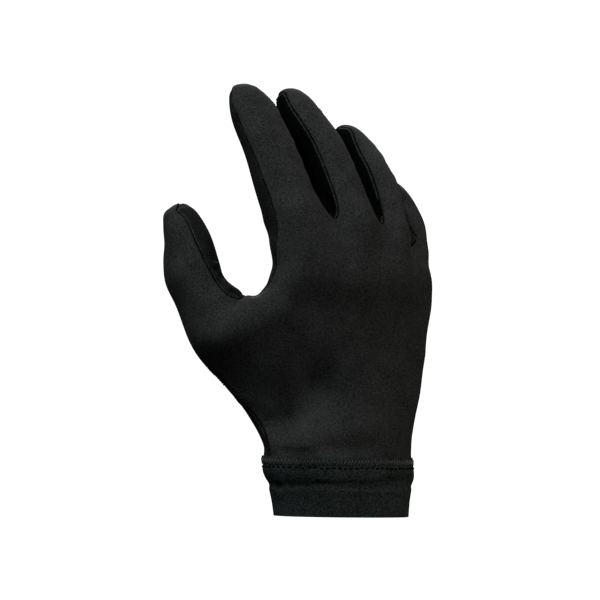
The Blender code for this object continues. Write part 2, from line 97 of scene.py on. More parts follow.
def add_node(
    tree: bpy.types.NodeTree, kind: str, inputs: dict[str | int, object] | None = None, **settings: object
) -> bpy.types.Node:
    """Adds a node with its settings, constants and links.

    Args:
        tree: The tree that the node goes into.
        kind: Blender's name for the kind of node.
        inputs: Each input's value, or the output socket that feeds it.
        settings: The node's own properties.

    Returns:
        The new node.
    """
    node = tree.nodes.new(kind)
    for name, value in settings.items():
        setattr(node, name, value)
    for name, value in (inputs or {}).items():
        if isinstance(value, bpy.types.NodeSocket):
            tree.links.new(value, node.inputs[name])
        else:
            node.inputs[name].default_value = value
    return node


def new_object(name: str, mesh: bpy.types.Mesh) -> bpy.types.Object:
    """Puts a mesh into the scene as an object at the origin.

    Args:
        name: The object's name.
        mesh: Its mesh.

    Returns:
        The object.
    """
    thing = bpy.data.objects.new(name, mesh)
    bpy.context.scene.collection.objects.link(thing)
    return thing


def eased(share: np.ndarray | float) -> np.ndarray | float:
    """Smooths a share between 0 and 1, so that it starts and ends without a kink."""
    return share * share * (3 - 2 * share)


def point_tree(points: Sequence[Vector]) -> KDTree:
    """A search tree of points.

    Args:
        points: The points, which are numbered in their order.

    Returns:
        The tree.
    """
    near = KDTree(len(points))
    for number, point in enumerate(points):
        near.insert(point, number)
    near.balance()
    return near


def keep_vectors(mesh: bpy.types.Mesh, **vectors: np.ndarray) -> None:
    """Keeps vectors on a mesh's points under the names that a node tree asks for."""
    for name, rows in vectors.items():
        mesh.attributes.new(name, "FLOAT_VECTOR", "POINT").data.foreach_set("vector", rows.ravel())


def rows_of(points: bpy.types.bpy_prop_collection, name: str, width: int = 3) -> np.ndarray:
    """Reads what each point of a mesh holds.

    Args:
        points: The points.
        name: Blender's name for what they hold.
        width: How many numbers that is.

    Returns:
        A row of numbers for each point.
    """
    flat = np.empty(len(points) * width)
    points.foreach_get(name, flat)
    return flat.reshape(-1, width)


def coordinates(mesh: bpy.types.Mesh) -> np.ndarray:
    """A mesh's vertex places as rows of x, y and z."""
    return rows_of(mesh.vertices, "co")


def round_edges(face: bpy.types.MeshPolygon) -> list[tuple[int, int]]:
    """A face's edges in its own direction, as pairs of vertices."""
    ring = list(face.vertices)
    return list(zip(ring, ring[1:] + ring[:1]))


def ways_in(
    faces: Iterable[bpy.types.MeshPolygon], vertices: Iterable[int], places: np.ndarray
) -> dict[int, Vector]:
    """Finds the way from border vertices into the part that they border.

    Args:
        faces: The part's faces.
        vertices: The border vertices.
        places: The places of all vertices.

    Returns:
        The way from each vertex to the middle of the faces round it.
    """
    centres: dict[int, list[Vector]] = {i: [] for i in vertices}
    for face in faces:
        for i in face.vertices:
            if i in centres:
                centres[i].append(Vector(face.center))
    return {i: sum(around, Vector()) / len(around) - Vector(places[i]) for i, around in centres.items()}


def made_mesh(name: str, form: bmesh.types.BMesh) -> bpy.types.Mesh:
    """Makes a plain mesh of a worked form.

    Args:
        name: The mesh's name.
        form: The form, which is freed.

    Returns:
        The mesh.
    """
    mesh = bpy.data.meshes.new(name)
    form.to_mesh(mesh)
    form.free()
    return mesh


def evaluated_mesh(thing: bpy.types.Object) -> bpy.types.Mesh:
    """The plain mesh that an object's modifiers make."""
    graph = bpy.context.evaluated_depsgraph_get()
    return bpy.data.meshes.new_from_object(thing.evaluated_get(graph), depsgraph=graph)


def subdivided(mesh: bpy.types.Mesh, levels: int, passes: int = 0) -> bpy.types.Mesh:
    """Rounds a mesh by Catmull-Clark subdivision.

    Args:
        mesh: The coarse mesh.
        levels: How many times each face is cut in four.
        passes: How often the coarse mesh is swelled so that the rounded one goes through its first places.

    Returns:
        The finer mesh.
    """
    thing = new_object("coarse", mesh)
    rounding = thing.modifiers.new("rounding", "SUBSURF")
    rounding.levels = rounding.render_levels = levels
    fine = evaluated_mesh(thing)
    wanted = coordinates(mesh)
    for _ in range(passes):
        swelled = coordinates(mesh) + wanted - coordinates(fine)[: len(wanted)]
        mesh.vertices.foreach_set("co", swelled.ravel())
        mesh.update()
        fine = evaluated_mesh(thing)
    bpy.data.objects.remove(thing)
    return fine


def merged_copy(node: bpy.types.Object) -> bmesh.types.BMesh:
    """Copies a CAD node's mesh and joins its loose triangles.

    Args:
        node: The CAD node's object, which stays as it is.

    Returns:
        The copy.
    """
    sheet = bmesh.new()
    sheet.from_mesh(node.data)
    bmesh.ops.remove_doubles(sheet, verts=sheet.verts, dist=0.01 * MM)
    return sheet


def regions(
    sheet: bmesh.types.BMesh, stops: Callable[[bmesh.types.BMEdge], bool]
) -> list[list[bmesh.types.BMFace]]:
    """Groups the faces that can be reached without crossing a stopping edge.

    Args:
        sheet: The mesh.
        stops: Says whether an edge ends a region.

    Returns:
        The faces of each region.
    """
    seen: set[bmesh.types.BMFace] = set()
    found = []
    for start in sheet.faces:
        if start in seen:
            continue
        seen.add(start)
        region = [start]
        for face in region:
            for edge in face.edges:
                if not stops(edge):
                    fresh = [other for other in edge.link_faces if other not in seen]
                    seen.update(fresh)
                    region.extend(fresh)
        found.append(region)
    return found


def keep_only(sheet: bmesh.types.BMesh, kept: Iterable[bmesh.types.BMFace]) -> None:
    """Deletes every face but those kept."""
    kept_faces = set(kept)
    bmesh.ops.delete(sheet, geom=[f for f in sheet.faces if f not in kept_faces], context="FACES")


def outer_sheet(node: bpy.types.Object, ring: bool = False, sharp: float = 50.0) -> bmesh.types.BMesh:
    """The outside of a walled CAD node, whose rims meet it at sharp edges.

    Args:
        node: The CAD node's object.
        ring: Whether the outside runs all round, and is told by the way it faces. If not, it's the largest sheet.
        sharp: The least turn at a rim, in degrees.

    Returns:
        The outer sheet alone.
    """
    sheet = merged_copy(node)
    limit = math.radians(sharp)
    sheet.normal_update()
    parts = regions(sheet, lambda e: len(e.link_faces) != 2 or e.calc_face_angle() > limit)
    middle = sum((v.co for v in sheet.verts), Vector()) / len(sheet.verts)

    def outwardness(faces: list[bmesh.types.BMFace]) -> float:
        """How much area faces out, or how much there is."""
        ways = [f.normal.dot(f.calc_center_median() - middle) if ring else 1.0 for f in faces]
        return sum(f.calc_area() * way for f, way in zip(faces, ways))

    keep_only(sheet, max(parts, key=outwardness))
    return sheet


def joined_quads(sheet: bmesh.types.BMesh) -> None:
    """Joins a sheet's triangles to four-sided faces, within each material.

    Args:
        sheet: The sheet.
    """
    bmesh.ops.join_triangles(
        sheet,
        faces=sheet.faces,
        cmp_materials=True,
        angle_face_threshold=math.radians(80),
        angle_shape_threshold=math.radians(120),
    )


@dataclass(frozen=True)
class ViewPlane:
    """The upright plane that the camera faces, on which folds and marks are given.

    Places on it are columns and rows of a 600 by 600 picture of the glove, column zero at the left.
    """

    azimuth: float = -35.0
    roll: float = 1.2
    pixel: float = 0.475 * MM
    origin_column: float = 341.5
    origin_row: float = 516.5
    size: int = 600
    standoff: float = 0.5  # how far before the plane the rays start, clear of the glove

    @property
    def inward(self) -> Vector:
        """The way the camera looks."""
        turn = math.radians(self.azimuth)
        return Vector((-math.sin(turn), math.cos(turn), 0.0))

    @property
    def right(self) -> Vector:
        """The picture's right-hand direction."""
        level = self.inward.cross(Vector((0, 0, 1)))
        return Matrix.Rotation(math.radians(-self.roll), 3, self.inward) @ level

    @property
    def up(self) -> Vector:
        """The picture's upward direction."""
        return self.right.cross(self.inward)

    def place(self, column: float, row: float) -> Vector:
        """Finds a point of the plane.

        Args:
            column: Its column.
            row: Its row.

        Returns:
            The point.
        """
        across = (column - self.origin_column) * self.pixel
        above = (self.origin_row - row) * self.pixel
        return self.right * across + self.up * above

    def onto(self, surface: BVHTree, column: float, row: float) -> tuple[Vector | None, Vector | None]:
        """Drops a column and row on a surface: the place and its normal, or nothing where they miss it."""
        start = self.place(column, row) - self.inward * self.standoff
        return surface.ray_cast(start, self.inward)[:2]


@dataclass(frozen=True)
class Fold:
    """A crease, hollow or ridge of the worn cloth along a line.

    The line's points are columns and rows of the view plane, and the sizes are in millimetres.
    """

    line: tuple[tuple[float, float], ...]
    width: float
    height: float
    form: FoldForm = FoldForm.CREASE
    square: bool = False  # moves the seen side square to the view plane, so that the outline stays

    def lift(self, places: np.ndarray, plane: ViewPlane, surface: BVHTree) -> np.ndarray:
        """How far the fold raises each place along the cloth's normal.

        Args:
            places: The points of the cloth.
            plane: The plane that the line is given on.
            surface: The cloth that the line is dropped on.

        Returns:
            The rise at each place, in metres.
        """
        dropped = [plane.onto(surface, *point)[0] for point in self.line]
        path = np.array([point for point in dropped if point is not None])
        if len(path) == 0:
            return np.zeros(len(places))
        if len(path) == 1:
            away = np.linalg.norm(places - path[0], axis=1)
        else:
            away = np.full(len(places), np.inf)
            for start, end in zip(path, path[1:]):
                run = end - start
                share = np.clip((places - start) @ run / max(run @ run, TINY), 0, 1)
                away = np.minimum(away, np.linalg.norm(places - start - share[:, None] * run, axis=1))
        reach = away / (self.width * MM)
        rise = np.exp(-(reach**2))
        if self.form is FoldForm.CREASE:
            rise = LIP_HEIGHT * np.exp(-(((reach - LIP_AT) / LIP_WIDTH) ** 2)) - rise
        elif self.form is FoldForm.HOLLOW:
            rise = -rise
        return rise * self.height * MM


@dataclass(frozen=True)
class Shift:
    """Where the worn form lies a little aside, seen square to the view plane, with its sizes in millimetres."""

    spot: tuple[float, float]
    reach: float
    right: float = 0.0
    up: float = 0.0

    def moves(self, places: np.ndarray, plane: ViewPlane) -> np.ndarray:
        """How far each place moves, fading out round the spot.

        Args:
            places: The points of the cloth.
            plane: The plane that the spot is given on.

        Returns:
            The moves, in metres.
        """
        offset = places - np.array(plane.place(*self.spot))
        away = np.hypot(offset @ np.array(plane.right), offset @ np.array(plane.up))
        way = np.array(plane.right * self.right + plane.up * self.up) * MM
        return np.exp(-((away / (self.reach * MM)) ** 2))[:, None] * way


@dataclass(frozen=True)
class SeamCourse:
    """Where a seam that shows from the camera's side runs, as columns and rows of the view plane."""

    line: tuple[tuple[float, float], ...]
    reach: float = 9.0 * MM
    fade: float = 7.0 * MM
    facing: float = 0.2  # how alike the cloth and the course must face
    to_hem: bool = False  # whether the last point lies on the hem, where the seam isn't let back

    def dropped(self, plane: ViewPlane, surface: BVHTree) -> tuple[list[Vector], list[Vector]]:
        """The course as close points on a surface, with the surface's normals.

        Args:
            plane: The plane that the course is given on.
            surface: The cloth.

        Returns:
            The points and the normals.
        """
        points, normals = [], []
        for (c0, r0), (c1, r1) in zip(self.line, self.line[1:]):
            steps = max(2, round(math.hypot(c1 - c0, r1 - r0)))
            for i in range(steps):
                share = i / steps
                place, normal = plane.onto(surface, c0 + (c1 - c0) * share, r0 + (r1 - r0) * share)
                if place is not None:
                    points.append(place)
                    normals.append(normal)
        return points, normals

    def move(self, place: Vector, normal: Vector, points: list[Vector], normals: list[Vector]) -> Vector:
        """How far a seam's point slides to lie on the course.

        Args:
            place: The point.
            normal: The cloth's normal there.
            points: The course's points.
            normals: The normals at them.

        Returns:
            The move, which fades out at the course's ends.
        """
        number = min(range(len(points)), key=lambda i: (points[i] - place).length_squared)
        way = points[number] - place
        if way.length > self.reach or normals[number].dot(normal) < self.facing:
            return Vector()
        before = sum((points[i] - points[i + 1]).length for i in range(number))
        after = sum((points[i] - points[i + 1]).length for i in range(number, len(points) - 1))
        share = min(1.0, (before if self.to_hem else min(before, after)) / self.fade)
        return way * eased(share)


def empty_material(name: str) -> bpy.types.Material:
    """Starts a material.

    Args:
        name: Its name.

    Returns:
        The material, whose node tree is still empty.
    """
    made = bpy.data.materials.new(name)
    made.use_nodes = True
    made.node_tree.nodes.clear()
    return made


@dataclass(frozen=True)
class BrushedKnit:
    """Knitted polyester jersey with a brushed face, as running gloves are cut from.

    The short nap scatters light, so the cloth is matt and nearly black, with a fine mottle where the nap
    lies one way or the other and a faint bloom at grazing angles.
    """

    name: str
    dark: str
    light: str
    nap: float = 0.75  # mm across a tuft of nap: the real one is 0.3, drawn coarser so that it shows
    loop: float = 0.95  # mm from wale to wale: the real one is 0.5, drawn coarser so that it shows
    course: float = 0.75  # mm from course to course, for each mm from wale to wale
    patch: float = 14.0  # mm across a patch where the nap was stroked another way, about a finger's width
    grain: float = 1.5  # how strongly the tufts show
    stroke: float = 0.30  # how strongly the patches show
    loop_shade: float = 0.16  # how strongly the loops show beside the tufts
    loop_relief: float = 0.35  # how high the loops stand beside the tufts
    middle: float = 0.54  # the usual shade of tufts and loops together
    spread: float = 0.25  # how far from it the darkest and lightest lie
    groove_shade: float = 0.85  # how strongly the colour darkens along the stitches: partly nap pushed down, partly painted shade of the dip
    roughness: float = 0.88
    gloss: float = 0.05
    sheen: float = 0.05

    def material(self) -> bpy.types.Material:
        """Builds the cloth's material.

        Returns:
            The material.
        """
        made = empty_material(self.name)
        tree = made.node_tree
        place = add_node(tree, "ShaderNodeTexCoord").outputs["Object"]
        cut = add_node(tree, "ShaderNodeUVMap", uv_map="cut").outputs["UV"]
        spots = {"Vector": place, "Scale": 1 / (self.nap * MM), "Detail": 2.5, "Roughness": 0.6}
        tufts = add_node(tree, "ShaderNodeTexNoise", spots).outputs["Fac"]
        spots = {"Vector": place, "Scale": 1 / (self.patch * MM), "Detail": 2.0}
        patches = add_node(tree, "ShaderNodeTexNoise", spots).outputs["Fac"]
        wales, courses = (
            add_node(
                tree,
                "ShaderNodeTexWave",
                {"Vector": cut, "Scale": WAVE_BAND / (pitch * MM), "Distortion": bend, "Detail": 1.0},
                bands_direction=way,
            ).outputs["Fac"]
            for pitch, bend, way in ((self.loop, 1.2, "X"), (self.loop * self.course, 1.6, "Y"))
        )
        loops = add_node(tree, "ShaderNodeMath", {0: wales, 1: courses}, operation="MULTIPLY").outputs[0]
        shade = add_node(
            tree, "ShaderNodeMath", {0: loops, 1: self.loop_shade, 2: tufts}, operation="MULTIPLY_ADD"
        ).outputs[0]
        shade = add_node(
            tree, "ShaderNodeMath", {0: patches, 1: self.stroke, 2: shade}, operation="MULTIPLY_ADD"
        ).outputs[0]
        middle = self.middle + self.stroke / 2
        reach = self.spread / self.grain
        limits = {"Value": shade, "From Min": middle - reach, "From Max": middle + reach}
        share = add_node(tree, "ShaderNodeMapRange", limits).outputs["Result"]
        pair = {"Factor": share, 6: linear(self.dark), 7: linear(self.light)}
        colour = add_node(tree, "ShaderNodeMix", pair, data_type="RGBA").outputs[2]
        # Along a row of stitches the nap lies pushed down, and the colour is mixed nearly to black: partly that
        # flattened nap, partly painted shade of the dip along the stitches.
        pressed_nap_shade = add_node(tree, "ShaderNodeAttribute", attribute_name="pressed_nap_shade").outputs["Fac"]
        depth = add_node(tree, "ShaderNodeMath", {0: pressed_nap_shade, 1: self.groove_shade}, operation="MULTIPLY").outputs[0]
        pair = {"Factor": depth, 6: colour, 7: linear("#020202")}
        colour = add_node(tree, "ShaderNodeMix", pair, data_type="RGBA").outputs[2]
        relief = add_node(
            tree, "ShaderNodeMath", {0: loops, 1: self.loop_relief, 2: tufts}, operation="MULTIPLY_ADD"
        ).outputs[0]
        bump = add_node(
            tree, "ShaderNodeBump", {"Height": relief, "Strength": 0.55, "Distance": 0.22 * MM}
        ).outputs["Normal"]
        shader = add_node(
            tree,
            "ShaderNodeBsdfPrincipled",
            {
                "Base Color": colour,
                "Roughness": self.roughness,
                "Specular IOR Level": self.gloss,
                "Sheen Weight": self.sheen,
                "Sheen Roughness": 0.45,
                "Sheen Tint": linear("#9a9a9c"),
                "Normal": bump,
            },
        )
        add_node(tree, "ShaderNodeOutputMaterial", {"Surface": shader.outputs[0]})
        return made


@dataclass(frozen=True)
class SewingThread:
    """Twisted polyester sewing thread: smoother than the cloth, so each stitch catches a small light."""

    name: str
    colour: str
    roughness: float = 0.6
    gloss: float = 0.3
    twist: float = 0.5  # mm from turn to turn: the real one is 0.3, drawn coarser so that it shows
    depth: float = 0.6  # the painted shade between two turns, as a share of the thread's colour

    def material(self) -> bpy.types.Material:
        """Builds the thread's material.

        Returns:
            The material.
        """
        made = empty_material(self.name)
        tree = made.node_tree
        place = add_node(tree, "ShaderNodeTexCoord").outputs["Object"]
        spots = {"Vector": place, "Scale": 1 / (self.twist * MM), "Detail": 1.0}
        turns = add_node(tree, "ShaderNodeTexNoise", spots).outputs["Fac"]
        base = linear(self.colour)
        # Between the turns the colour is darkened: painted shade of the twist.
        turn_shade = tuple(self.depth * part for part in base[:3]) + base[3:]
        pair = {"Factor": turns, 6: turn_shade, 7: base}
        bump = {"Height": turns, "Strength": 0.4, "Distance": 0.1 * MM}
        shader = add_node(
            tree,
            "ShaderNodeBsdfPrincipled",
            {
                "Base Color": add_node(tree, "ShaderNodeMix", pair, data_type="RGBA").outputs[2],
                "Roughness": self.roughness,
                "Specular IOR Level": self.gloss,
                "Normal": add_node(tree, "ShaderNodeBump", bump).outputs["Normal"],
            },
        )
        add_node(tree, "ShaderNodeOutputMaterial", {"Surface": shader.outputs[0]})
        return made


@dataclass
class SurfaceSheet:
    """A coarse and a fine mesh of one cloth surface, the coarse one's vertices coming first in the fine one."""

    coarse: bpy.types.Mesh
    fine: bpy.types.Mesh
    places: np.ndarray = field(init=False)
    normals: np.ndarray = field(init=False)

    def __post_init__(self) -> None:
        """Reads the fine mesh's vertices."""
        self.places = coordinates(self.fine)
        self.normals = rows_of(self.fine.vertex_normals, "vector")

    def tree(self) -> BVHTree:
        """The surface as rays meet it."""
        faces = [tuple(polygon.vertices) for polygon in self.fine.polygons]
        return BVHTree.FromPolygons([Vector(p) for p in self.places], faces)

    def raise_by(self, lift: np.ndarray) -> None:
        """Moves every vertex along its normal by its rise in metres."""
        self.move_by(self.normals * lift[:, None])

    def move_by(self, moves: np.ndarray) -> None:
        """Moves every vertex, and finds the new normals.

        Args:
            moves: The move of each vertex, in metres.
        """
        self.places = self.places + moves
        self.fine.vertices.foreach_set("co", self.places.ravel())
        self.fine.update()
        self.normals = rows_of(self.fine.vertex_normals, "vector")

    def clear_of_hem(self, reach: float) -> np.ndarray:
        """How free each vertex is of the surface's open border.

        Args:
            reach: The distance at which a vertex is quite free, in metres.

        Returns:
            A share from 0 on the border to 1 at the reach and beyond.
        """
        uses: dict[tuple[int, int], int] = {}
        for polygon in self.fine.polygons:
            for key in polygon.edge_keys:
                uses[key] = uses.get(key, 0) + 1
        border = sorted({i for key, count in uses.items() if count == 1 for i in key})
        near = point_tree([Vector(self.places[i]) for i in border])
        return eased(np.clip([near.find(Vector(p))[2] / reach for p in self.places], 0, 1))

    def crease(self, folds: Sequence[Fold], plane: ViewPlane, hem_reach: float) -> None:
        """Works folds into the surface, which fade out at its hem.

        Args:
            folds: The folds.
            plane: The plane that they are given on.
            hem_reach: How far from the hem they have their whole height, in metres.
        """
        surface = self.tree()
        toward = -np.array(plane.inward)
        facing = np.clip(self.normals @ toward, 0, 1)
        moves = np.zeros_like(self.places)
        for fold in folds:
            lift = fold.lift(self.places, plane, surface)[:, None]
            moves += lift * facing[:, None] * toward if fold.square else lift * self.normals
        self.move_by(moves * self.clear_of_hem(hem_reach)[:, None])


@dataclass
class Wall:
    """Turns a part of a surface sheet into cloth with a thickness and closed rims."""

    sheet: SurfaceSheet
    thickness: float
    rim_steps: int = 1
    inset: float = 0.1 * MM

    def build(self, name: str, material: int, pressed_nap_shade: np.ndarray | None = None) -> bpy.types.Mesh:
        """Makes the walled mesh of the faces with one material.

        Args:
            name: The new mesh's name.
            material: The material index of the faces that are taken.
            pressed_nap_shade: How far the nap is pushed down at each fine vertex, kept as an attribute, which the
                material also darkens as painted shade of the dip along the stitches.

        Returns:
            A closed mesh whose outside is fine and whose inside is coarse.
        """
        fine_faces = [p for p in self.sheet.fine.polygons if p.material_index == material]
        coarse_faces = [p for p in self.sheet.coarse.polygons if p.material_index == material]
        around = dict.fromkeys(edge for face in coarse_faces for edge in round_edges(face))
        border = [(a, b) for a, b in around if (b, a) not in around]
        middle = self._middles(fine_faces, border)
        inward = self._inward(fine_faces, border, middle)

        places: list[Vector] = []
        outer: dict[int, int] = {}
        for face in fine_faces:
            for i in face.vertices:
                if i not in outer:
                    outer[i] = len(places)
                    places.append(Vector(self.sheet.places[i]) + inward.get(i, Vector()))
        inner: dict[int, int] = {}
        for face in coarse_faces:
            for i in face.vertices:
                if i not in inner:
                    inner[i] = len(places)
                    sunk = Vector(self.sheet.places[i] - self.sheet.normals[i] * self.thickness)
                    places.append(sunk + inward.get(i, Vector()))
        faces = [[outer[i] for i in f.vertices] for f in fine_faces]
        faces += [[inner[i] for i in reversed(f.vertices)] for f in coarse_faces]
        rim_start = len(faces)
        steps = self._rim_rows(places, border, middle, inward, outer, inner)
        for a, b in border:
            m = middle[(a, b)]
            for upper, lower in zip(steps, steps[1:-1]):
                faces.append([upper[m], upper[a], lower[a], lower[m]])
                faces.append([upper[b], upper[m], lower[m], lower[b]])
            last, under = steps[-2], steps[-1]
            faces.append([last[m], last[a], under[a]])
            faces.append([last[b], last[m], under[b]])
            faces.append([last[m], under[a], under[b]])
        made = bpy.data.meshes.new(name)
        made.from_pydata(places, [], faces)
        self._carry_cut(made, fine_faces, coarse_faces, rim_start)
        if pressed_nap_shade is not None:
            amounts = np.zeros(len(places))
            amounts[list(outer.values())] = pressed_nap_shade[list(outer)]
            made.attributes.new("pressed_nap_shade", "FLOAT", "POINT").data.foreach_set("value", amounts)
        made.polygons.foreach_set("use_smooth", [True] * len(made.polygons))
        made.update()
        return made

    def _middles(
        self, fine_faces: list[bpy.types.MeshPolygon], border: list[tuple[int, int]]
    ) -> dict[tuple[int, int], int]:
        """The fine vertex at the middle of each border edge.

        Args:
            fine_faces: The fine faces of the part.
            border: The coarse border edges, in the faces' own direction.

        Returns:
            The middle vertex of each border edge.
        """
        count = len(self.sheet.coarse.vertices)
        after: dict[int, int] = {}
        before: dict[int, int] = {}
        ways = {edge for face in fine_faces for edge in round_edges(face)}
        for a, b in ways:
            if (b, a) not in ways:
                if a < count <= b:
                    after[a] = b
                elif b < count <= a:
                    before[b] = a
        result = {}
        for a, b in border:
            if after.get(a) != before.get(b) or a not in after:
                raise ValueError("a border edge of the cloth has no middle vertex")
            result[(a, b)] = after[a]
        return result

    def _inward(
        self,
        fine_faces: list[bpy.types.MeshPolygon],
        border: list[tuple[int, int]],
        middle: dict[tuple[int, int], int],
    ) -> dict[int, Vector]:
        """How far each border vertex moves into its own part, so that neighbours don't share a face.

        Args:
            fine_faces: The fine faces of the part.
            border: The coarse border edges.
            middle: Their middle vertices.

        Returns:
            The move of each border vertex.
        """
        edge = {i for pair in border for i in pair} | set(middle.values())
        moves = {}
        for i, way in ways_in(fine_faces, edge, self.sheet.places).items():
            normal = Vector(self.sheet.normals[i])
            moves[i] = (way - normal * way.dot(normal)).normalized() * self.inset
        return moves

    def _rim_rows(
        self,
        places: list[Vector],
        border: list[tuple[int, int]],
        middle: dict[tuple[int, int], int],
        inward: dict[int, Vector],
        outer: dict[int, int],
        inner: dict[int, int],
    ) -> list[dict[int, int]]:
        """Adds the rows of vertices that round a rim from the outside to the inside.

        Args:
            places: The mesh's points, to which the rows are added.
            border: The coarse border edges.
            middle: Their middle vertices.
            inward: The way into the part at each border vertex.
            outer: The outside's vertices.
            inner: The inside's vertices.

        Returns:
            The vertex numbers of each row, the outside's first and the inside's last.
        """
        rows = [outer]
        edge = sorted({i for pair in border for i in pair} | set(middle.values()))
        for step in range(1, self.rim_steps):
            turn = math.pi * step / self.rim_steps
            row = {}
            for i in edge:
                out = -inward[i].normalized()
                normal = Vector(self.sheet.normals[i])
                row[i] = len(places)
                places.append(
                    Vector(self.sheet.places[i])
                    + inward[i]
                    - normal * (self.thickness / 2 * (1 - math.cos(turn)))
                    + out * (self.thickness / 2 * math.sin(turn))
                )
            rows.append(row)
        return rows + [inner]

    def _carry_cut(
        self,
        made: bpy.types.Mesh,
        fine_faces: list[bpy.types.MeshPolygon],
        coarse_faces: list[bpy.types.MeshPolygon],
        rim_start: int,
    ) -> None:
        """Copies the cut's UV map from the sheet, and gives each rim face one place on it.

        Args:
            made: The walled mesh.
            fine_faces: The fine faces, in the order that they were added.
            coarse_faces: The coarse faces, in the order that they were added.
            rim_start: The number of the first rim face.
        """
        target = made.uv_layers.new(name="cut")
        fine_cut = self.sheet.fine.uv_layers.get("cut")
        coarse_cut = self.sheet.coarse.uv_layers.get("cut")
        if fine_cut is None or coarse_cut is None:
            return
        values = [fine_cut.data[i].uv[:] for face in fine_faces for i in face.loop_indices]
        values += [coarse_cut.data[i].uv[:] for face in coarse_faces for i in reversed(face.loop_indices)]
        spot: dict[int, tuple[float, float]] = {}
        loops = [v for p in made.polygons[:rim_start] for v in p.vertices]
        for vertex, value in zip(loops, values):
            spot.setdefault(vertex, value)
        for polygon in made.polygons[rim_start:]:
            known = next((spot[v] for v in polygon.vertices if v in spot), (0.0, 0.0))
            values += [known] * len(polygon.vertices)
        target.data.foreach_set("uv", [part for value in values for part in value])


@dataclass
class SewnHand:
    """The hand of the glove: five cut panels, sewn along their edges and creased as it is worn."""

    plane: ViewPlane
    folds: tuple[Fold, ...]
    shifts: tuple[Shift, ...]
    courses: tuple[SeamCourse, ...]
    thickness: float = 1.3 * MM
    seam_reach: float = 0.45 * MM
    seam_dip: float = 0.36 * MM
    seam_dip_width: float = 0.6 * MM
    seam_plump: float = 0.22 * MM
    seam_plump_at: float = 2.3 * MM
    seam_plump_width: float = 1.3 * MM
    seam_turn: float = 22.0  # degrees: the least turn of the cloth at the border of a strip between fingers
    slide_rings: tuple[float, ...] = (0.6, 0.25)  # how much the next vertices follow a seam that slides
    pucker: float = 0.16 * MM
    pucker_length: float = 4.5 * MM
    pucker_at: float = 1.8 * MM
    pucker_width: float = 2.2 * MM
    drift: float = 0.12 * MM
    drift_length: float = 13.0 * MM
    drift_start: tuple[float, float, float] = (7.0, 3.0, 5.0)  # keeps the drift apart from the puckers
    hem_reach: float = 3.2 * MM
    hem_tuck: float = 0.9 * MM
    stitch_inset: float = 1.0 * MM
    # How wide the band beside the stitches is where the nap lies pushed down and painted shade darkens it.
    stitch_shade_width: float = 0.45 * MM
    sheet: SurfaceSheet = field(init=False)
    away: np.ndarray = field(init=False)

    def build(self) -> None:
        """Sews the panels to one surface, rounds it and works its folds and seams in."""
        joined = self._join_sheets()
        self._weld_seams(joined)
        joined_quads(joined)
        self._lay_seams(joined)
        base = made_mesh("hand_base", joined)
        self._unwrap(base)
        coarse = subdivided(base, 2, 2)
        self.sheet = SurfaceSheet(coarse, subdivided(coarse, 1))
        free = self.sheet.clear_of_hem(2 * self.hem_reach)
        moves = sum(shift.moves(self.sheet.places, self.plane) for shift in self.shifts)
        self.sheet.move_by(moves * free[:, None])
        self.sheet.crease(self.folds, self.plane, self.hem_reach)
        # The hem is tucked into the turned edge of the cuff.
        tuck = (1 - self.sheet.clear_of_hem(self.hem_reach)) * -self.hem_tuck
        self.sheet.move_by(tuck[:, None] * np.array((0.0, 0.0, 1.0)))
        self.away = self._seam_distance()
        self.sheet.raise_by(self._seam_and_drift())

    def _join_sheets(self) -> bmesh.types.BMesh:
        """Gathers the outer sheets of all panels in one mesh.

        Returns:
            The mesh, whose material indices number the panels.
        """
        sheets = {panel: outer_sheet(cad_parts[panel.value]) for panel in (Panel.BACK, Panel.PALM)}
        near = point_tree([v.co.copy() for s in sheets.values() for v in s.verts if v.is_boundary])
        for panel in list(Panel)[2:]:
            sheet = merged_copy(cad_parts[panel.value])
            on_seam = {v for v in sheet.verts if near.find(v.co)[2] < self.seam_reach}
            parts = regions(
                sheet,
                lambda e: e.verts[0] in on_seam
                and e.verts[1] in on_seam
                and e.calc_face_angle() > math.radians(self.seam_turn),
            )
            # The largest part is the strip's inside, with its rims.
            keep_only(sheet, sorted(parts, key=len)[-2])
            sheets[panel] = sheet
        joined = bmesh.new()
        for number, panel in enumerate(Panel):
            for face in sheets[panel].faces:
                face.material_index = number
            part = made_mesh(panel.name, sheets[panel])
            joined.from_mesh(part)
            bpy.data.meshes.remove(part)
        return joined

    def _weld_seams(self, joined: bmesh.types.BMesh) -> None:
        """Closes the seam gaps by meeting the panels' edges half way.

        Args:
            joined: The mesh of all panels.
        """
        rims = [v for v in joined.verts if v.is_boundary]
        near = point_tree([v.co for v in rims])
        meets = [[hit[0] for hit in near.find_range(v.co, self.seam_reach)] for v in rims]
        for vertex, around in zip(rims, meets):
            vertex.co = sum(around, Vector()) / len(around)
        bmesh.ops.remove_doubles(joined, verts=rims, dist=self.seam_reach / 2)

    def _lay_seams(self, joined: bmesh.types.BMesh) -> None:
        """Slides the seams of the back panel along the cloth to their measured courses.

        Args:
            joined: The sewn mesh.
        """
        surface = BVHTree.FromBMesh(joined)
        joined.normal_update()
        back = list(Panel).index(Panel.BACK)
        seam: dict[bmesh.types.BMVert, None] = {}
        for edge in joined.edges:
            sides = {face.material_index for face in edge.link_faces}
            if back in sides and len(sides) > 1:
                seam.update(dict.fromkeys(edge.verts))
        moves: dict[bmesh.types.BMVert, Vector] = {}
        for course in self.courses:
            points, normals = course.dropped(self.plane, surface)
            for vertex in seam:
                way = course.move(vertex.co, vertex.normal, points, normals)
                if way.length > moves.get(vertex, Vector()).length:
                    moves[vertex] = way
        ring = dict(moves)
        for share in self.slide_rings:
            fresh: dict[bmesh.types.BMVert, list[Vector]] = {}
            for vertex in ring:
                for edge in vertex.link_edges:
                    other = edge.other_vert(vertex)
                    if other not in moves and other not in seam:
                        fresh.setdefault(other, []).append(moves[vertex])
            ring = {v: sum(ways, Vector()) / len(ways) * share for v, ways in fresh.items()}
            moves.update(ring)
        for vertex, way in moves.items():
            if way.length > 0:
                vertex.co = surface.find_nearest(vertex.co + way)[0]

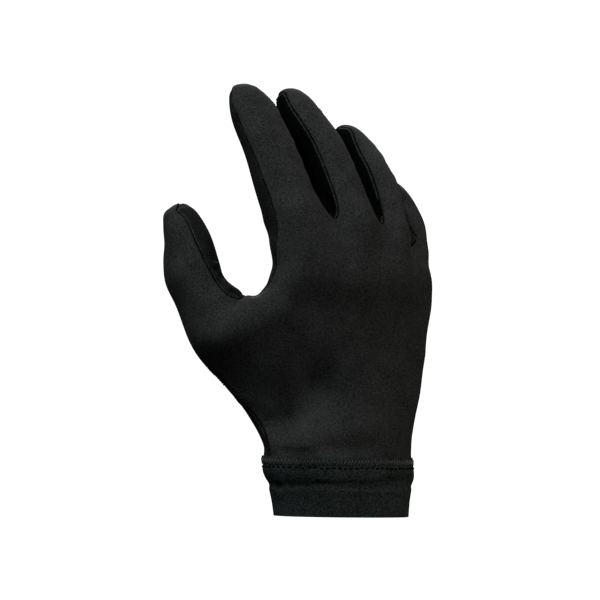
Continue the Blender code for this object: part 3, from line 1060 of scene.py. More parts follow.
    def _unwrap(self, mesh: bpy.types.Mesh) -> None:
        """Lays every panel flat as it was cut, in metres, with its length along V.

        Args:
            mesh: The sewn coarse mesh.
        """
        thing = new_object("cutting", mesh)
        bpy.context.view_layer.objects.active = thing
        thing.select_set(True)
        mesh.uv_layers.new(name="cut")
        owners: dict[tuple[int, int], set[int]] = {}
        for polygon in mesh.polygons:
            for key in polygon.edge_keys:
                owners.setdefault(key, set()).add(polygon.material_index)
        for edge in mesh.edges:
            edge.use_seam = len(owners[edge.key]) > 1
        bpy.ops.object.mode_set(mode="EDIT")
        bpy.ops.mesh.select_all(action="SELECT")
        bpy.ops.uv.unwrap(method="ANGLE_BASED", margin=0.01)
        bpy.ops.object.mode_set(mode="OBJECT")
        cut = mesh.uv_layers["cut"]
        flat = rows_of(cut.data, "uv", 2)
        points = coordinates(mesh)
        for number in range(len(Panel)):
            loops = [i for p in mesh.polygons if p.material_index == number for i in p.loop_indices]
            vertices = [mesh.loops[i].vertex_index for i in loops]
            part = flat[loops] - flat[loops].mean(axis=0)
            slope = np.linalg.lstsq(part, points[vertices, 2] - points[vertices, 2].mean(), rcond=None)[0]
            up = slope / max(np.linalg.norm(slope), TINY)
            turned = part @ np.array([[up[1], up[0]], [-up[0], up[1]]])
            area = sum(p.area for p in mesh.polygons if p.material_index == number)
            flat[loops] = turned * math.sqrt(area / max(self._flat_area(mesh, number, flat), TINY))
        cut.data.foreach_set("uv", flat.ravel())
        bpy.data.objects.remove(thing)

    def _flat_area(self, mesh: bpy.types.Mesh, number: int, flat: np.ndarray) -> float:
        """The area of a panel on the UV map.

        Args:
            mesh: The sewn coarse mesh.
            number: The panel's material index.
            flat: The UV of each loop.

        Returns:
            The area in UV units.
        """
        total = 0.0
        for polygon in mesh.polygons:
            if polygon.material_index == number:
                ring = flat[list(polygon.loop_indices)]
                after = np.roll(ring, -1, axis=0)
                total += abs(float((ring[:, 0] * after[:, 1] - ring[:, 1] * after[:, 0]).sum())) / 2
        return total

    def seam_edges(self) -> list[tuple[int, int, int, int]]:
        """Finds the fine edges between two panels.

        Returns:
            Both vertices and both panels' numbers of each edge.
        """
        owner: dict[tuple[int, int], int] = {}
        result = []
        for polygon in self.sheet.fine.polygons:
            for key in polygon.edge_keys:
                other = owner.setdefault(key, polygon.material_index)
                if other != polygon.material_index:
                    result.append((*key, *sorted((other, polygon.material_index))))
        return result

    def _seam_distance(self) -> np.ndarray:
        """Measures how far each fine vertex lies from the nearest seam.

        Returns:
            The distances, in metres.
        """
        ends = self.sheet.places
        spots = [
            Vector(ends[a] * (1 - t) + ends[b] * t)
            for a, b, _, _ in self.seam_edges()
            for t in (0, 0.25, 0.5, 0.75)
        ]
        near = point_tree(spots)
        return np.array([near.find(Vector(p))[2] for p in ends])

    def _seam_and_drift(self) -> np.ndarray:
        """Works out the dip and plump lips along the seams, the puckers beside them and the cloth's slight drift.

        Returns:
            The rise of each fine vertex, in metres.
        """
        away = self.away
        ends = self.sheet.places
        rise = -self.seam_dip * np.exp(-((away / self.seam_dip_width) ** 2))
        rise += self.seam_plump * np.exp(-(((away - self.seam_plump_at) / self.seam_plump_width) ** 2))
        beside = np.exp(-(((away - self.pucker_at) / self.pucker_width) ** 2))
        start = Vector(self.drift_start)
        ripple = np.array([noise.noise(Vector(p) / self.pucker_length) for p in ends])
        slow = np.array([noise.noise(Vector(p) / self.drift_length + start) for p in ends])
        return rise + beside * ripple * 2 * self.pucker + slow * 2 * self.drift

    def dress(self, finishes: dict[Panel, bpy.types.Material]) -> list[bpy.types.Object]:
        """Parts the surface along its seams into the panels' pieces.

        Args:
            finishes: The material of each panel.

        Returns:
            The pieces.
        """
        pieces = []
        wall = Wall(self.sheet, self.thickness)
        # Beside the back panel's stitches the nap lies pushed down, and the material darkens it there: partly
        # that flattened nap, partly painted shade of the dip along the stitches.
        stitched = np.exp(-(((self.away - self.stitch_inset) / self.stitch_shade_width) ** 2))
        for number, panel in enumerate(Panel):
            name = f"{panel.value}_cloth"
            piece = new_object(name, wall.build(name, number, stitched if panel is Panel.BACK else None))
            piece.data.materials.append(finishes[panel])
            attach(piece, BODY)
            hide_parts(panel.value)
            pieces.append(piece)
        return pieces

    def seam_line(self, name: str, side: Panel, besides: tuple[Panel, ...] = ()) -> bpy.types.Object:
        """Draws one panel's seams as a mesh of edges that carries the cloth's normal and the way into the panel.

        Args:
            name: The object's name.
            side: The panel.
            besides: The panels whose seams with it are left out.

        Returns:
            The object, for a node tree to work on.
        """
        own = list(Panel).index(side)
        left_out = {list(Panel).index(panel) for panel in besides}
        edges = [e for e in self.seam_edges() if own in e[2:] and not left_out & set(e[2:])]
        used = sorted({i for edge in edges for i in edge[:2]})
        number = {vertex: i for i, vertex in enumerate(used)}
        mesh = bpy.data.meshes.new(name)
        mesh.from_pydata(
            [self.sheet.places[i] for i in used], [(number[a], number[b]) for a, b, _, _ in edges], []
        )
        faces = [p for p in self.sheet.fine.polygons if p.material_index == own]
        across = np.array([way.normalized() for way in ways_in(faces, used, self.sheet.places).values()])
        keep_vectors(mesh, cloth_normal=self.sheet.normals[used], across=across)
        return new_object(name, mesh)


@dataclass
class NodeWork:
    """A Geometry Nodes tree with named inputs, worked on one object and then made a plain mesh."""

    name: str
    tree: bpy.types.NodeTree = field(init=False)
    given: bpy.types.NodeOutputs = field(init=False)
    known: dict[str, bpy.types.NodeSocket] = field(default_factory=dict)

    def __post_init__(self) -> None:
        """Starts the tree with its geometry input and output."""
        self.tree = bpy.data.node_groups.new(self.name, "GeometryNodeTree")
        for way in ("INPUT", "OUTPUT"):
            self.tree.interface.new_socket("Geometry", in_out=way, socket_type="NodeSocketGeometry")

    def take(self, *sizes: str, counts: tuple[str, ...] = (), vectors: tuple[str, ...] = ()) -> None:
        """Adds the tree's inputs, the material's among them, and reads what the carrier keeps at its points.

        Args:
            sizes: The names of the inputs that are lengths.
            counts: The names of those that are whole numbers.
            vectors: The names of the vectors that the carrier keeps.
        """
        kinds = dict.fromkeys(counts, "NodeSocketInt") | dict.fromkeys(sizes, "NodeSocketFloat")
        kinds["Material"] = "NodeSocketMaterial"
        for name, kind in kinds.items():
            self.tree.interface.new_socket(name, in_out="INPUT", socket_type=kind)
        self.given = add_node(self.tree, "NodeGroupInput").outputs
        for name in vectors:
            self.known[name] = add_node(
                self.tree, "GeometryNodeInputNamedAttribute", {"Name": name}, data_type="FLOAT_VECTOR"
            ).outputs[0]

    def line(self, mode: str, amount: str) -> bpy.types.NodeSocket:
        """Turns the carrier's edges to lines with even points.

        Args:
            mode: LENGTH for a distance from point to point, or COUNT for a number of points.
            amount: The name of the input that gives it.

        Returns:
            The socket of the lines.
        """
        lines = add_node(self.tree, "GeometryNodeMeshToCurve", {0: self.given["Geometry"]}).outputs[0]
        inputs = {"Curve": lines, mode.title(): self.given[amount]}
        return add_node(self.tree, "GeometryNodeResampleCurve", inputs, mode=mode).outputs[0]

    def moved(
        self, lines: bpy.types.NodeSocket, *ways: tuple[bpy.types.NodeSocket, bpy.types.NodeSocket]
    ) -> bpy.types.NodeSocket:
        """Moves the points of lines.

        Args:
            lines: The lines.
            ways: Two vectors, each with how far the points move along it.

        Returns:
            The socket of the moved lines.
        """
        first, second = (
            add_node(self.tree, "ShaderNodeVectorMath", {0: way, "Scale": far}, operation="SCALE").outputs[0]
            for way, far in ways
        )
        offset = add_node(self.tree, "ShaderNodeVectorMath", {0: first, 1: second}, operation="ADD").outputs[0]
        return add_node(self.tree, "GeometryNodeSetPosition", {"Geometry": lines, "Offset": offset}).outputs[0]

    def tube(self, lines: bpy.types.NodeSocket, sides: int, capped: bool) -> bpy.types.NodeSocket:
        """Draws a tube along lines, as thick as the input Radius says.

        Args:
            lines: The lines.
            sides: How many sides the tube has.
            capped: Whether its ends are closed.

        Returns:
            The socket of the tube.
        """
        circle = {"Resolution": sides, "Radius": self.given["Radius"]}
        ring = add_node(self.tree, "GeometryNodeCurvePrimitiveCircle", circle, mode="RADIUS").outputs[0]
        inputs = {"Curve": lines, "Profile Curve": ring, "Fill Caps": capped}
        return add_node(self.tree, "GeometryNodeCurveToMesh", inputs).outputs[0]

    def bead(self, *spans: str, along: float = 0.0, turn: float = 0.0) -> bpy.types.NodeSocket:
        """Shapes the rounded body of a stitch, with few faces.

        Args:
            spans: The inputs that give how far it spans on X, Y and Z.
            along: How far it is set off on Y, as a share of the first one.
            turn: How far it is turned about Z, in radians.

        Returns:
            The socket of the body.
        """
        round_body = {"Segments": 6, "Rings": 4, "Radius": 0.5}
        ball = add_node(self.tree, "GeometryNodeMeshUVSphere", round_body).outputs[0]
        sides = {axis: self.given[span] for axis, span in zip("XYZ", spans)}
        size = add_node(self.tree, "ShaderNodeCombineXYZ", sides).outputs[0]
        inputs = {"Geometry": ball, "Scale": size, "Rotation": (0.0, 0.0, turn)}
        if along:
            product = {0: self.given[spans[0]], 1: along}
            far = add_node(self.tree, "ShaderNodeMath", product, operation="MULTIPLY").outputs[0]
            inputs["Translation"] = add_node(self.tree, "ShaderNodeCombineXYZ", {"Y": far}).outputs[0]
        return add_node(self.tree, "GeometryNodeTransform", inputs).outputs[0]

    def planted(
        self,
        lines: bpy.types.NodeSocket,
        shape: bpy.types.NodeSocket,
        heading: str,
        size: bpy.types.NodeSocket | tuple[float, float, float] = (1.0, 1.0, 1.0),
    ) -> bpy.types.NodeSocket:
        """Stands a shape on the cloth at each point of lines.

        Args:
            lines: The lines.
            shape: The shape.
            heading: The known vector that its X follows.
            size: How large it is there, as a share of its own size.

        Returns:
            The socket of the copies.
        """
        axes = {"Primary Axis": self.known["cloth_normal"], "Secondary Axis": self.known[heading]}
        turn = add_node(self.tree, "FunctionNodeAxesToRotation", axes, primary_axis="Z", secondary_axis="X")
        inputs = {"Points": lines, "Instance": shape, "Rotation": turn.outputs[0], "Scale": size}
        return add_node(self.tree, "GeometryNodeInstanceOnPoints", inputs).outputs[0]

    def close(self, result: bpy.types.NodeSocket) -> None:
        """Ends the tree: instances made real, then the material.

        Args:
            result: The geometry that the tree has made.
        """
        real = add_node(self.tree, "GeometryNodeRealizeInstances", {0: result}).outputs[0]
        inputs = {"Geometry": real, "Material": self.given["Material"]}
        dressed = add_node(self.tree, "GeometryNodeSetMaterial", inputs).outputs[0]
        add_node(self.tree, "NodeGroupOutput", {0: dressed})

    def work(self, carrier: bpy.types.Object, material: bpy.types.Material, **values: float) -> bpy.types.Object:
        """Runs the tree on an object and makes the result its plain mesh.

        Args:
            carrier: The object that carries the line or surface.
            material: The material that the result gets.
            values: The value of each named input.

        Returns:
            The finished piece.
        """
        modifier = carrier.modifiers.new(self.name, "NODES")
        modifier.node_group = self.tree
        for item in self.tree.interface.items_tree:
            if item.item_type == "SOCKET" and item.in_out == "INPUT":
                if item.name in values:
                    modifier[item.identifier] = values[item.name]
                elif item.name == "Material":
                    modifier[item.identifier] = material
        mesh = evaluated_mesh(carrier)
        name = carrier.name
        bpy.data.objects.remove(carrier)
        mesh.materials.clear()
        mesh.materials.append(material)
        mesh.polygons.foreach_set("use_smooth", [True] * len(mesh.polygons))
        return new_object(name, mesh)


@dataclass
class SeamSewing:
    """What shows of the seams: the turned edge along each one, and the stitches that hold it down."""

    hand: SewnHand
    roll_step: float = 0.8 * MM
    roll_radius: float = 0.38 * MM
    roll_sides: int = 7
    stitch_pitch: float = 1.45 * MM
    stitch_length: float = 1.35 * MM
    stitch_width: float = 0.62 * MM
    stitch_rise: float = 0.12 * MM
    stitch_sizes: tuple[float, float] = (0.75, 1.15)  # the smallest and the largest, as shares of the usual one
    stitch_seed: int = 5

    def tubes(self) -> NodeWork:
        """Builds the tree that draws a round tube along each line.

        Returns:
            The tree.
        """
        work = NodeWork("seam_tube_tree")
        work.take("Step", "Radius")
        work.close(work.tube(work.line("LENGTH", "Step"), self.roll_sides, True))
        return work

    def stitches(self) -> NodeWork:
        """Builds the tree that lays a row of short stitches beside each line.

        Returns:
            The tree.
        """
        work = NodeWork("stitch_tree")
        work.take("Pitch", "Length", "Width", "Inset", "Rise", vectors=("cloth_normal", "across"))
        laid = work.moved(
            work.line("LENGTH", "Pitch"),
            (work.known["cloth_normal"], work.given["Rise"]),
            (work.known["across"], work.given["Inset"]),
        )
        limits = {2: self.stitch_sizes[0], 3: self.stitch_sizes[1], "Seed": self.stitch_seed}
        size = add_node(work.tree, "FunctionNodeRandomValue", limits, data_type="FLOAT").outputs[1]
        work.close(work.planted(laid, work.bead("Width", "Length", "Width"), "across", size))
        return work

    def dress(self, cloth: bpy.types.Material, thread: bpy.types.Material) -> list[bpy.types.Object]:
        """Builds the turned edges and stitches of all seams.

        Args:
            cloth: The material of the turned edges, drawn lighter as a painted highlight.
            thread: The material of the stitches.

        Returns:
            The pieces.
        """
        tubes, stitches = self.tubes(), self.stitches()
        pieces = []
        for side, besides in ((Panel.BACK, ()), (Panel.PALM, (Panel.BACK,))):
            label = side.name.lower()
            line = self.hand.seam_line(f"{label}_seam_roll", side, besides)
            pieces.append(tubes.work(line, cloth, Step=self.roll_step, Radius=self.roll_radius))
            row = stitches.work(
                self.hand.seam_line(f"{label}_seam_stitches", side, besides),
                thread,
                Pitch=self.stitch_pitch,
                Length=self.stitch_length,
                Width=self.stitch_width,
                Inset=self.hand.stitch_inset,
                Rise=self.stitch_rise,
            )
            pieces.append(row)
        for piece in pieces:
            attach(piece, BODY)
        return pieces


@dataclass
class Cuff:
    """The double elastic cuff and the zigzag-stitched edge that joins it to the hand."""

    plane: ViewPlane
    folds: tuple[Fold, ...]
    band_wall: float = 2.0 * MM
    band_rim: tuple[int, float] = (6, 1.0 * MM)  # the steps round a rim, and how far it is set in
    edge_wall: float = 1.0 * MM
    edge_rim: tuple[int, float] = (4, 0.3 * MM)
    edge_settle: float = 0.3 * MM
    edge_settle_reach: float = 1.0 * MM
    hem_reach: float = 1.5 * MM
    tuck_reach: float = 0.5 * MM
    tuck_up: float = 2.6 * MM
    tuck_in: float = 0.3 * MM
    line_points: int = 360
    thread_lift: float = 0.1 * MM
    thread_radius: float = 0.22 * MM
    thread_sides: int = 5
    zigzag_rows: tuple[float, float] = (24.7 * MM, 27.1 * MM)
    zigzag_points: int = 224
    zigzag_reach: tuple[float, float] = (0.82, 1.1)  # the shortest and the longest throw, as shares of the row
    zigzag_seed: int = 11
    hook_rows: tuple[float, float] = (23.2 * MM, 23.7 * MM)
    hook_points: int = 68
    hook_length: float = 1.3 * MM
    hook_width: float = 0.7 * MM
    hook_legs: tuple[float, float] = (0.32, 0.85)  # where its two legs lie, in lengths, and their turn in radians
    hook_seed: int = 23

    def surface(self, node: str, folds: Sequence[Fold]) -> SurfaceSheet:
        """Rounds the outside of a cuff node and creases it.

        Args:
            node: The CAD node's name.
            folds: Its folds.

        Returns:
            The surface.
        """
        sheet = outer_sheet(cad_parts[node], ring=True)
        joined_quads(sheet)
        coarse = subdivided(made_mesh(node, sheet), 2, 2)
        made = SurfaceSheet(coarse, subdivided(coarse, 1))
        made.crease(folds, self.plane, self.hem_reach)
        return made

    def _tuck_top(self, band: SurfaceSheet) -> None:
        """Leads the band's top border up behind the sewn edge.

        Args:
            band: The band's outside.
        """
        top = band.places[:, 2].max()
        share = eased(np.clip(1 - (top - band.places[:, 2]) / self.tuck_reach, 0, 1))
        band.move_by(share[:, None] * (np.array((0.0, 0.0, self.tuck_up)) - band.normals * self.tuck_in))

    def _settle_foot(self, edge: SurfaceSheet) -> None:
        """Lets the foot of the sewn edge lie close on the band."""
        height = edge.places[:, 2] - edge.places[:, 2].min()
        edge.raise_by(-self.edge_settle * np.exp(-height / self.edge_settle_reach))

    def round_line(self, name: str, surface: BVHTree, rows: tuple[float, float]) -> bpy.types.Object:
        """Draws a closed line round the cuff that knows the way out and half the way up its row of stitches.

        Args:
            name: The object's name.
            surface: The cloth that the line lies on.
            rows: The heights of the row's lower and upper edge.

        Returns:
            The object, for a node tree to work on.
        """
        count = self.line_points
        centre = (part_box("cuff_band")[0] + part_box("cuff_band")[1]) / 2
        rings: list[list[Vector]] = []
        for height in rows:
            ring = []
            for i in range(count):
                turn = 2 * math.pi * i / count
                start = Vector((centre.x, centre.y, height))
                hit = surface.ray_cast(start, Vector((math.cos(turn), math.sin(turn), 0)))[0]
                ring.append(hit if hit is not None else ring[-1])
            rings.append(ring)
        middle = [(a + b) / 2 for a, b in zip(*rings)]
        mesh = bpy.data.meshes.new(name)
        mesh.from_pydata(middle, [(i, (i + 1) % count) for i in range(count)], [])
        rise = np.array([(b - a) / 2 for a, b in zip(*rings)])
        out = np.array([surface.find_nearest(point)[1] for point in middle])
        keep_vectors(mesh, rise=rise, cloth_normal=out)
        return new_object(name, mesh)

    def zigzag(self) -> NodeWork:
        """Builds the tree that runs a thread up and down along a closed line.

        Returns:
            The tree.
        """
        work = NodeWork("zigzag_tree")
        work.take("Radius", "Lift", counts=("Points",), vectors=("cloth_normal", "rise"))
        tree = work.tree
        index = add_node(tree, "GeometryNodeInputIndex").outputs[0]
        odd = add_node(tree, "ShaderNodeMath", {0: index, 1: 2.0}, operation="MODULO").outputs[0]
        side = add_node(tree, "ShaderNodeMath", {0: odd, 1: 2.0, 2: -1.0}, operation="MULTIPLY_ADD").outputs[0]
        limits = {2: self.zigzag_reach[0], 3: self.zigzag_reach[1], "Seed": self.zigzag_seed}
        reach = add_node(tree, "FunctionNodeRandomValue", limits, data_type="FLOAT").outputs[1]
        throw = add_node(tree, "ShaderNodeMath", {0: side, 1: reach}, operation="MULTIPLY").outputs[0]
        laid = work.moved(
            work.line("COUNT", "Points"),
            (work.known["rise"], throw),
            (work.known["cloth_normal"], work.given["Lift"]),
        )
        work.close(work.tube(laid, self.thread_sides, False))
        return work

    def hook_stitches(self) -> NodeWork:
        """Builds the tree that sets a small hooked stitch in its needle hole at each point of a closed line.

        Returns:
            The tree.
        """
        work = NodeWork("hook_stitch_tree")
        work.take("Length", "Width", "Lift", counts=("Points",), vectors=("cloth_normal", "rise"))
        limits = {2: -1.0, 3: 1.0, "Seed": self.hook_seed}
        wander = add_node(work.tree, "FunctionNodeRandomValue", limits, data_type="FLOAT").outputs[1]
        laid = work.moved(
            work.line("COUNT", "Points"),
            (work.known["rise"], wander),
            (work.known["cloth_normal"], work.given["Lift"]),
        )
        hook = add_node(work.tree, "GeometryNodeJoinGeometry")
        along, turn = self.hook_legs
        for way in (1, -1):
            leg = work.bead("Length", "Width", "Width", along=way * along, turn=way * turn)
            work.tree.links.new(leg, hook.inputs[0])
        work.close(work.planted(laid, hook.outputs[0], "rise"))
        return work

    def dress(
        self, elastic: bpy.types.Material, thread: bpy.types.Material, shadow_thread: bpy.types.Material
    ) -> list[bpy.types.Object]:
        """Builds the band, its sewn edge and the stitches round it.

        Args:
            elastic: The material of the band and edge.
            thread: The material of the zigzag.
            shadow_thread: The near-black material of the hooked stitches under it, painted shade of their needle
                holes.

        Returns:
            The pieces.
        """
        band, edge = self.surface("cuff_band", self.folds), self.surface("cuff_seam", ())
        self._tuck_top(band)
        self._settle_foot(edge)
        pieces = []
        for name, node, wall in (
            ("cuff_band_cloth", "cuff_band", Wall(band, self.band_wall, *self.band_rim)),
            ("cuff_seam_edge", "cuff_seam", Wall(edge, self.edge_wall, *self.edge_rim)),
        ):
            piece = new_object(name, wall.build(name, 0))
            piece.data.materials.append(elastic)
            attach(piece, BODY)
            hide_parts(node)
            pieces.append(piece)
        zigzag = self.zigzag().work(
            self.round_line("cuff_zigzag", edge.tree(), self.zigzag_rows),
            thread,
            Points=self.zigzag_points,
            Radius=self.thread_radius,
            Lift=self.thread_lift,
        )
        # The hooked stitches are drawn near black: black thread, and painted shade of the needle holes they sit
        # in.
        hooks = self.hook_stitches().work(
            self.round_line("cuff_hook_stitches", band.tree(), self.hook_rows),
            shadow_thread,
            Points=self.hook_points,
            Length=self.hook_length,
            Width=self.hook_width,
            Lift=self.thread_lift,
        )
        for piece in (zigzag, hooks):
            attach(piece, BODY)
        return pieces + [zigzag, hooks]


@dataclass(frozen=True)
class SoftLight:
    """A soft square light that faces the glove."""

    name: str
    azimuth: float  # degrees round the glove, counted as the camera's
    elevation: float  # degrees above the horizon
    size: float  # metres along a side
    power: float  # watts
    tint: str = "#ffffff"

    def hang(self, aim: Vector, distance: float) -> None:
        """Hangs the light.

        Args:
            aim: The point that it faces.
            distance: How far from it the light hangs.
        """
        data = bpy.data.lights.new(self.name, "AREA")
        data.size = self.size
        data.energy = self.power
        data.color = linear(self.tint)[:3]
        lamp = bpy.data.objects.new(self.name, data)
        bpy.context.scene.collection.objects.link(lamp)
        turn, rise = math.radians(self.azimuth), math.radians(self.elevation)
        back = Vector((math.sin(turn) * math.cos(rise), -math.cos(turn) * math.cos(rise), math.sin(rise)))
        lamp.location = aim + back * distance
        lamp.rotation_euler = back.to_track_quat("Z", "Y").to_euler()


@dataclass
class Studio:
    """The camera, the lights, the floor and the white backdrop."""

    plane: ViewPlane
    lights: tuple[SoftLight, ...]
    lens: float = 500.0
    sensor: float = 36.0
    clip: tuple[float, float] = (0.05, 30.0)
    light_aim: tuple[float, float, float] = (0.0, 0.0, 0.1)
    light_distance: float = 1.6
    air: float = 0.006  # how strongly the air round the studio shines
    floor_drop: float = 0.42
    floor_margin: float = 0.2
    backdrop_radius: float = 5.5
    backdrop_height: float = 6.0
    backdrop_sunk: float = 0.05
    backdrop_glow: float = 1.1
    sides: int = 96

    def camera(self) -> None:
        """Sets the camera square to the view plane, far off with a long lens."""
        data = bpy.data.cameras.new("camera")
        data.lens = self.lens
        data.sensor_width = self.sensor
        data.clip_start, data.clip_end = self.clip
        eye = bpy.data.objects.new("camera", data)
        bpy.context.scene.collection.objects.link(eye)
        middle = self.plane.size / 2
        distance = self.plane.size * self.plane.pixel * self.lens / self.sensor
        spot = self.plane.place(middle, middle) - self.plane.inward * distance
        axes = Matrix((self.plane.right, self.plane.up, -self.plane.inward)).transposed().to_4x4()
        eye.matrix_world = Matrix.Translation(spot) @ axes
        bpy.context.scene.camera = eye

    def paper(self, name: str, colour: str, glow: float) -> bpy.types.Material:
        """Matt background paper: even and without a shine.

        Args:
            name: The material's name.
            colour: Its colour.
            glow: How strongly it shines by itself, as paper lit from behind does.

        Returns:
            The material.
        """
        made = empty_material(name)
        shader = add_node(
            made.node_tree,
            "ShaderNodeBsdfPrincipled",
            {
                "Base Color": linear(colour),
                "Roughness": 0.95,
                "Specular IOR Level": 0.1,
                "Emission Color": linear("#ffffff"),
                "Emission Strength": glow,
            },
        )
        add_node(made.node_tree, "ShaderNodeOutputMaterial", {"Surface": shader.outputs[0]})
        return made

    def set_up(self, name: str, form: bmesh.types.BMesh, height: float, paper: bpy.types.Material) -> None:
        """Stands a piece of the stage, which throws no light on the glove.

        Args:
            name: Its name.
            form: Its form round the origin.
            height: How high its middle stands.
            paper: Its material.
        """
        bmesh.ops.translate(form, verts=form.verts, vec=(0, 0, height))
        thing = new_object(name, made_mesh(name, form))
        thing.data.materials.append(paper)
        thing.visible_diffuse = thing.visible_glossy = False

    def room(self) -> None:
        """Builds the floor and the backdrop ring round it."""
        base = bmesh.new()
        bmesh.ops.create_circle(
            base, cap_ends=True, segments=self.sides, radius=self.backdrop_radius + self.floor_margin
        )
        self.set_up("floor", base, -self.floor_drop, self.paper("pale_studio_floor", "#e9e9e7", 0.0))
        ring = bmesh.new()
        bmesh.ops.create_cone(
            ring,
            cap_ends=False,
            segments=self.sides,
            radius1=self.backdrop_radius,
            radius2=self.backdrop_radius,
            depth=self.backdrop_height,
        )
        bmesh.ops.reverse_faces(ring, faces=ring.faces)
        height = self.backdrop_height / 2 - self.floor_drop - self.backdrop_sunk
        self.set_up("backdrop", ring, height, self.paper("lit_backdrop_paper", "#ffffff", self.backdrop_glow))

    def build(self) -> None:
        """Sets up everything round the glove."""
        self.camera()
        world = bpy.data.worlds.new("studio_air")
        world.use_nodes = True
        air = world.node_tree.nodes["Background"]
        air.inputs["Color"].default_value = linear("#ffffff")
        air.inputs["Strength"].default_value = self.air
        bpy.context.scene.world = world
        for light in self.lights:
            light.hang(Vector(self.light_aim), self.light_distance)
        self.room()
        bpy.context.scene.view_settings.view_transform = "Standard"


LIGHTS = (
    SoftLight("key_light", -85.0, 62.0, 0.8, 8.4),
    SoftLight("left_light", -90.0, 35.0, 0.8, 4.8),
    SoftLight("front_light", -22.0, 42.0, 0.8, 6.7),
    SoftLight("right_light", 55.0, 5.0, 0.6, 5.0, "#fff3df"),
    # Shows the palm, which the camera doesn't see.
    SoftLight("back_light", 150.0, 35.0, 1.0, 16.0),
)

HAND_SHIFTS = (
    # The fingertips.
    Shift((180, 203), 6.0, 0.0, -1.2),
    Shift((245, 90), 8.0, -0.6, 0.9),
    Shift((291, 96), 8.0, -0.3, 1.6),
    Shift((350, 131), 7.0, 0.0, 1.5),
    Shift((398, 186), 7.0, 0.8, 0.5),
    # The index finger's inner side down to the web, and the web's round end.
    Shift((258, 195), 14.0, -1.4),
    Shift((274, 246), 8.0, -2.4),
    Shift((258, 287), 6.5, 3.0),
    Shift((243, 302), 5.0, 0.0, 1.6),
    Shift((252, 292), 3.5, 0.0, -2.4),
    # The thumb's two sides.
    Shift((168, 212), 5.0, -1.6),
    Shift((163, 244), 6.0, 1.0),
    Shift((168, 283), 8.0, -1.3),
    Shift((211, 240), 10.0, 1.1),
    Shift((225, 277), 5.0, -1.2),
    Shift((237, 292), 4.5, 1.6),
    # The outer edges of the thumb's ball and of the hand.
    Shift((220, 382), 8.0, 1.2),
    Shift((419, 388), 14.0, 0.9),
    Shift((430, 295), 12.0, 0.5),
    Shift((424, 225), 12.0, 1.4),
    Shift((428, 279), 5.5, 1.3),
)

HAND_FOLDS = (
    # The knuckles, and the dip of the back of the hand under the index finger's.
    Fold(((302, 275), (330, 278), (365, 281), (398, 282)), 11.5, 4.2, FoldForm.RIDGE),
    Fold(((313, 304),), 8.0, 1.0, FoldForm.HOLLOW),
    Fold(((285, 252), (305, 250)), 7.0, 1.3, FoldForm.RIDGE),
    # The thumb's joint.
    Fold(((166, 270), (178, 270)), 7.0, 1.8, FoldForm.RIDGE, square=True),
    # The thumb's ridge, and the slope below it.
    Fold(((205, 338), (225, 335), (250, 325), (280, 309)), 9.0, 3.2, FoldForm.RIDGE),
    Fold(((232, 390), (258, 402), (290, 404), (314, 392)), 14.0, 6.5, FoldForm.HOLLOW, square=True),
    Fold(((250, 410), (270, 417), (292, 416)), 7.0, 3.5, FoldForm.HOLLOW, square=True),
    Fold(((285, 385), (325, 385)), 28.0, 4.0, FoldForm.HOLLOW, square=True),
    # The ring finger's back.
    Fold(((382, 142), (389, 160), (397, 178), (403, 196)), 6.5, 4.6, FoldForm.HOLLOW, square=True),
    # The little finger's side.
    Fold(((427, 275), (428, 310), (422, 350)), 8.0, 1.5, FoldForm.RIDGE),
    Fold(((415, 205), (422, 222), (426, 240)), 5.0, 3.6, FoldForm.HOLLOW, square=True),
    # The deep ends of the two slots.
    Fold(((325, 199), (331, 212)), 2.3, 2.6, FoldForm.HOLLOW),
    Fold(((376, 203), (380, 213)), 2.0, 2.4, FoldForm.HOLLOW),
    # The folds above the cuff.
    Fold(((258, 424), (275, 426), (288, 424)), 5.0, 4.4, FoldForm.HOLLOW, square=True),
    Fold(((268, 443), (305, 441)), 7.0, 3.0, FoldForm.RIDGE, square=True),
    Fold(((283, 450.5), (306, 451.5)), 1.6, 0.5),
    # The gathers of the thumb's inner strip.
    Fold(((214, 259), (222, 258)), 1.3, 1.2, FoldForm.HOLLOW),
    Fold(((217, 270), (226, 269)), 1.6, 1.4, FoldForm.HOLLOW),
    Fold(((216, 264.5), (224, 263)), 1.4, 0.9, FoldForm.RIDGE),
    Fold(((221, 277), (229, 276)), 1.3, 0.9),
    Fold(((233, 291), (240, 295)), 1.6, 1.4, FoldForm.HOLLOW),
)

SEAM_COURSES = (
    # The index finger's inner seam down to the web, and the thumb's.
    SeamCourse(
        (
            (229.6, 98.7), (233.6, 110), (238.7, 121.7), (245, 137), (252.4, 153), (260.9, 171.5), (268.7, 190),
            (273.2, 203), (276, 216), (279, 231), (281.5, 247), (280.5, 258), (279, 268), (276.5, 277),
            (271, 284), (264, 289),
        ),
        fade=2.5 * MM,
        facing=-0.5,
    ),
    SeamCourse(
        (
            (175, 206), (180, 208), (188.5, 220), (196.4, 242), (207.3, 263), (220.3, 283), (226, 292),
            (230, 297.5), (236.3, 300.7), (243.3, 302.4),
        ),
        fade=2.5 * MM,
        facing=-0.5,
    ),
    SeamCourse(
        (
            (282.7, 92), (289.4, 107.3), (299, 120), (307.6, 133), (314.5, 147), (321, 161.8), (332.4, 191.5),
            (337.2, 213.5),
        ),
    ),
    SeamCourse(((348.2, 125.8), (356.5, 146.5), (368.9, 169.7), (377.2, 196), (380.5, 216))),
    SeamCourse(((407.4, 218), (412, 235), (414.8, 252))),
    # Beside the outline at the wrist, down to the cuff.
    SeamCourse(
        (
            (244, 401), (250, 409.5), (255, 417), (260, 425), (264, 432), (267, 440), (268.7, 447), (268.8, 454),
            (268.8, 460),
        ),
        to_hem=True,
    ),
)

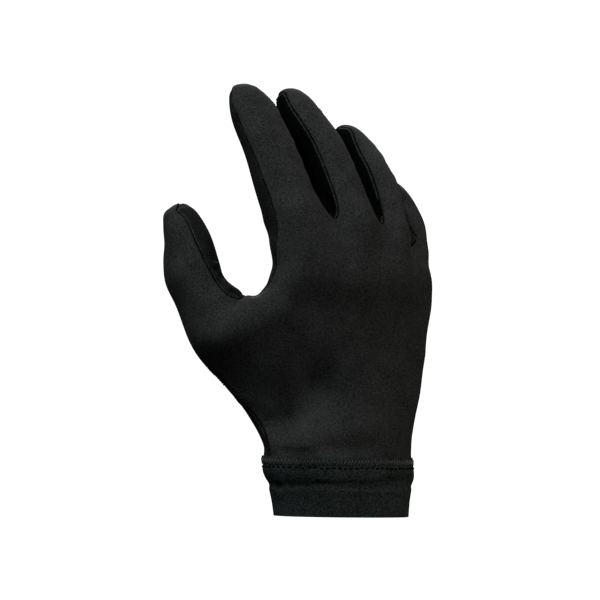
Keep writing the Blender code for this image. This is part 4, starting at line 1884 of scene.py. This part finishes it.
CUFF_FOLDS = (
    Fold(((317, 482), (350, 482), (380, 482)), 1.1, 0.3),
    Fold(((330, 487), (365, 487), (395, 488)), 1.1, 0.25),
    Fold(((388, 483), (400, 482), (409, 481)), 3.4, 1.5, FoldForm.HOLLOW),
    Fold(((267, 486), (280, 486)), 1.7, 0.8),
)


def main() -> None:
    """Builds the glove's parts in order, and reports each piece."""
    logging.basicConfig(level=logging.INFO, format="%(message)s")
    plane = ViewPlane()
    # Brushed jersey is matt and soft, so the hand's form shows in slow greys and not in lights.
    face = BrushedKnit("brushed_polyester_jersey", "#151616", "#434545", grain=1.1).material()
    # The same cloth on the palm lies with its nap rubbed flat, and looks a shade darker.
    inside = BrushedKnit("palm_side_jersey", "#101111", "#262828").material()
    # Between the fingers the cloth is stretched smooth, and is drawn nearly black with no shine or bloom: painted
    # shade of the deep slots between the fingers.
    between = BrushedKnit("finger_side_jersey_painted_shade", "#040505", "#0c0e0e", gloss=0.0, sheen=0.0).material()
    # The edge turned in at a seam is stretched over the fold, and is drawn lighter than the face: partly the
    # stretched cloth, partly a painted highlight for the thin pale line of light that the fold catches.
    turned = BrushedKnit("turned_jersey_edge_painted_highlight", "#1f2121", "#454747").material()
    # Knitted elastic has open, coarser loops and no nap: a crisp speckle, slightly green.
    elastic = BrushedKnit(
        "knitted_elastic", "#101413", "#454e4d", loop=1.2, grain=1.6, stroke=0.1, sheen=0.0
    ).material()
    # Twisted polyester thread is paler than the cloth, so the zigzag stands out on the elastic.
    pale_thread = SewingThread("polyester_sewing_thread", "#666868").material()
    # Black thread pulled into the cloth is drawn pure black and matt, with no light on it: partly the thread's
    # own colour, partly painted shade of the dip and needle holes that it lies in, so it reads as a fine dark
    # line.
    black_thread_and_shade = SewingThread("black_sewing_thread_painted_shade", "#030303", 0.9, 0.0).material()

    hand = SewnHand(plane, HAND_FOLDS, HAND_SHIFTS, SEAM_COURSES)
    hand.build()
    # The strips between the fingers take the nearly black cloth, painted shade of the slots.
    finishes = dict.fromkeys(Panel, between) | {Panel.BACK: face, Panel.PALM: inside}
    pieces = hand.dress(finishes)
    pieces += SeamSewing(hand).dress(turned, black_thread_and_shade)
    pieces += Cuff(plane, CUFF_FOLDS).dress(elastic, pale_thread, black_thread_and_shade)
    for piece in pieces:
        LOG.info("%s: %d faces", piece.name, len(piece.data.polygons))
    Studio(plane, LIGHTS).build()


if __name__ == "__main__":
    main()
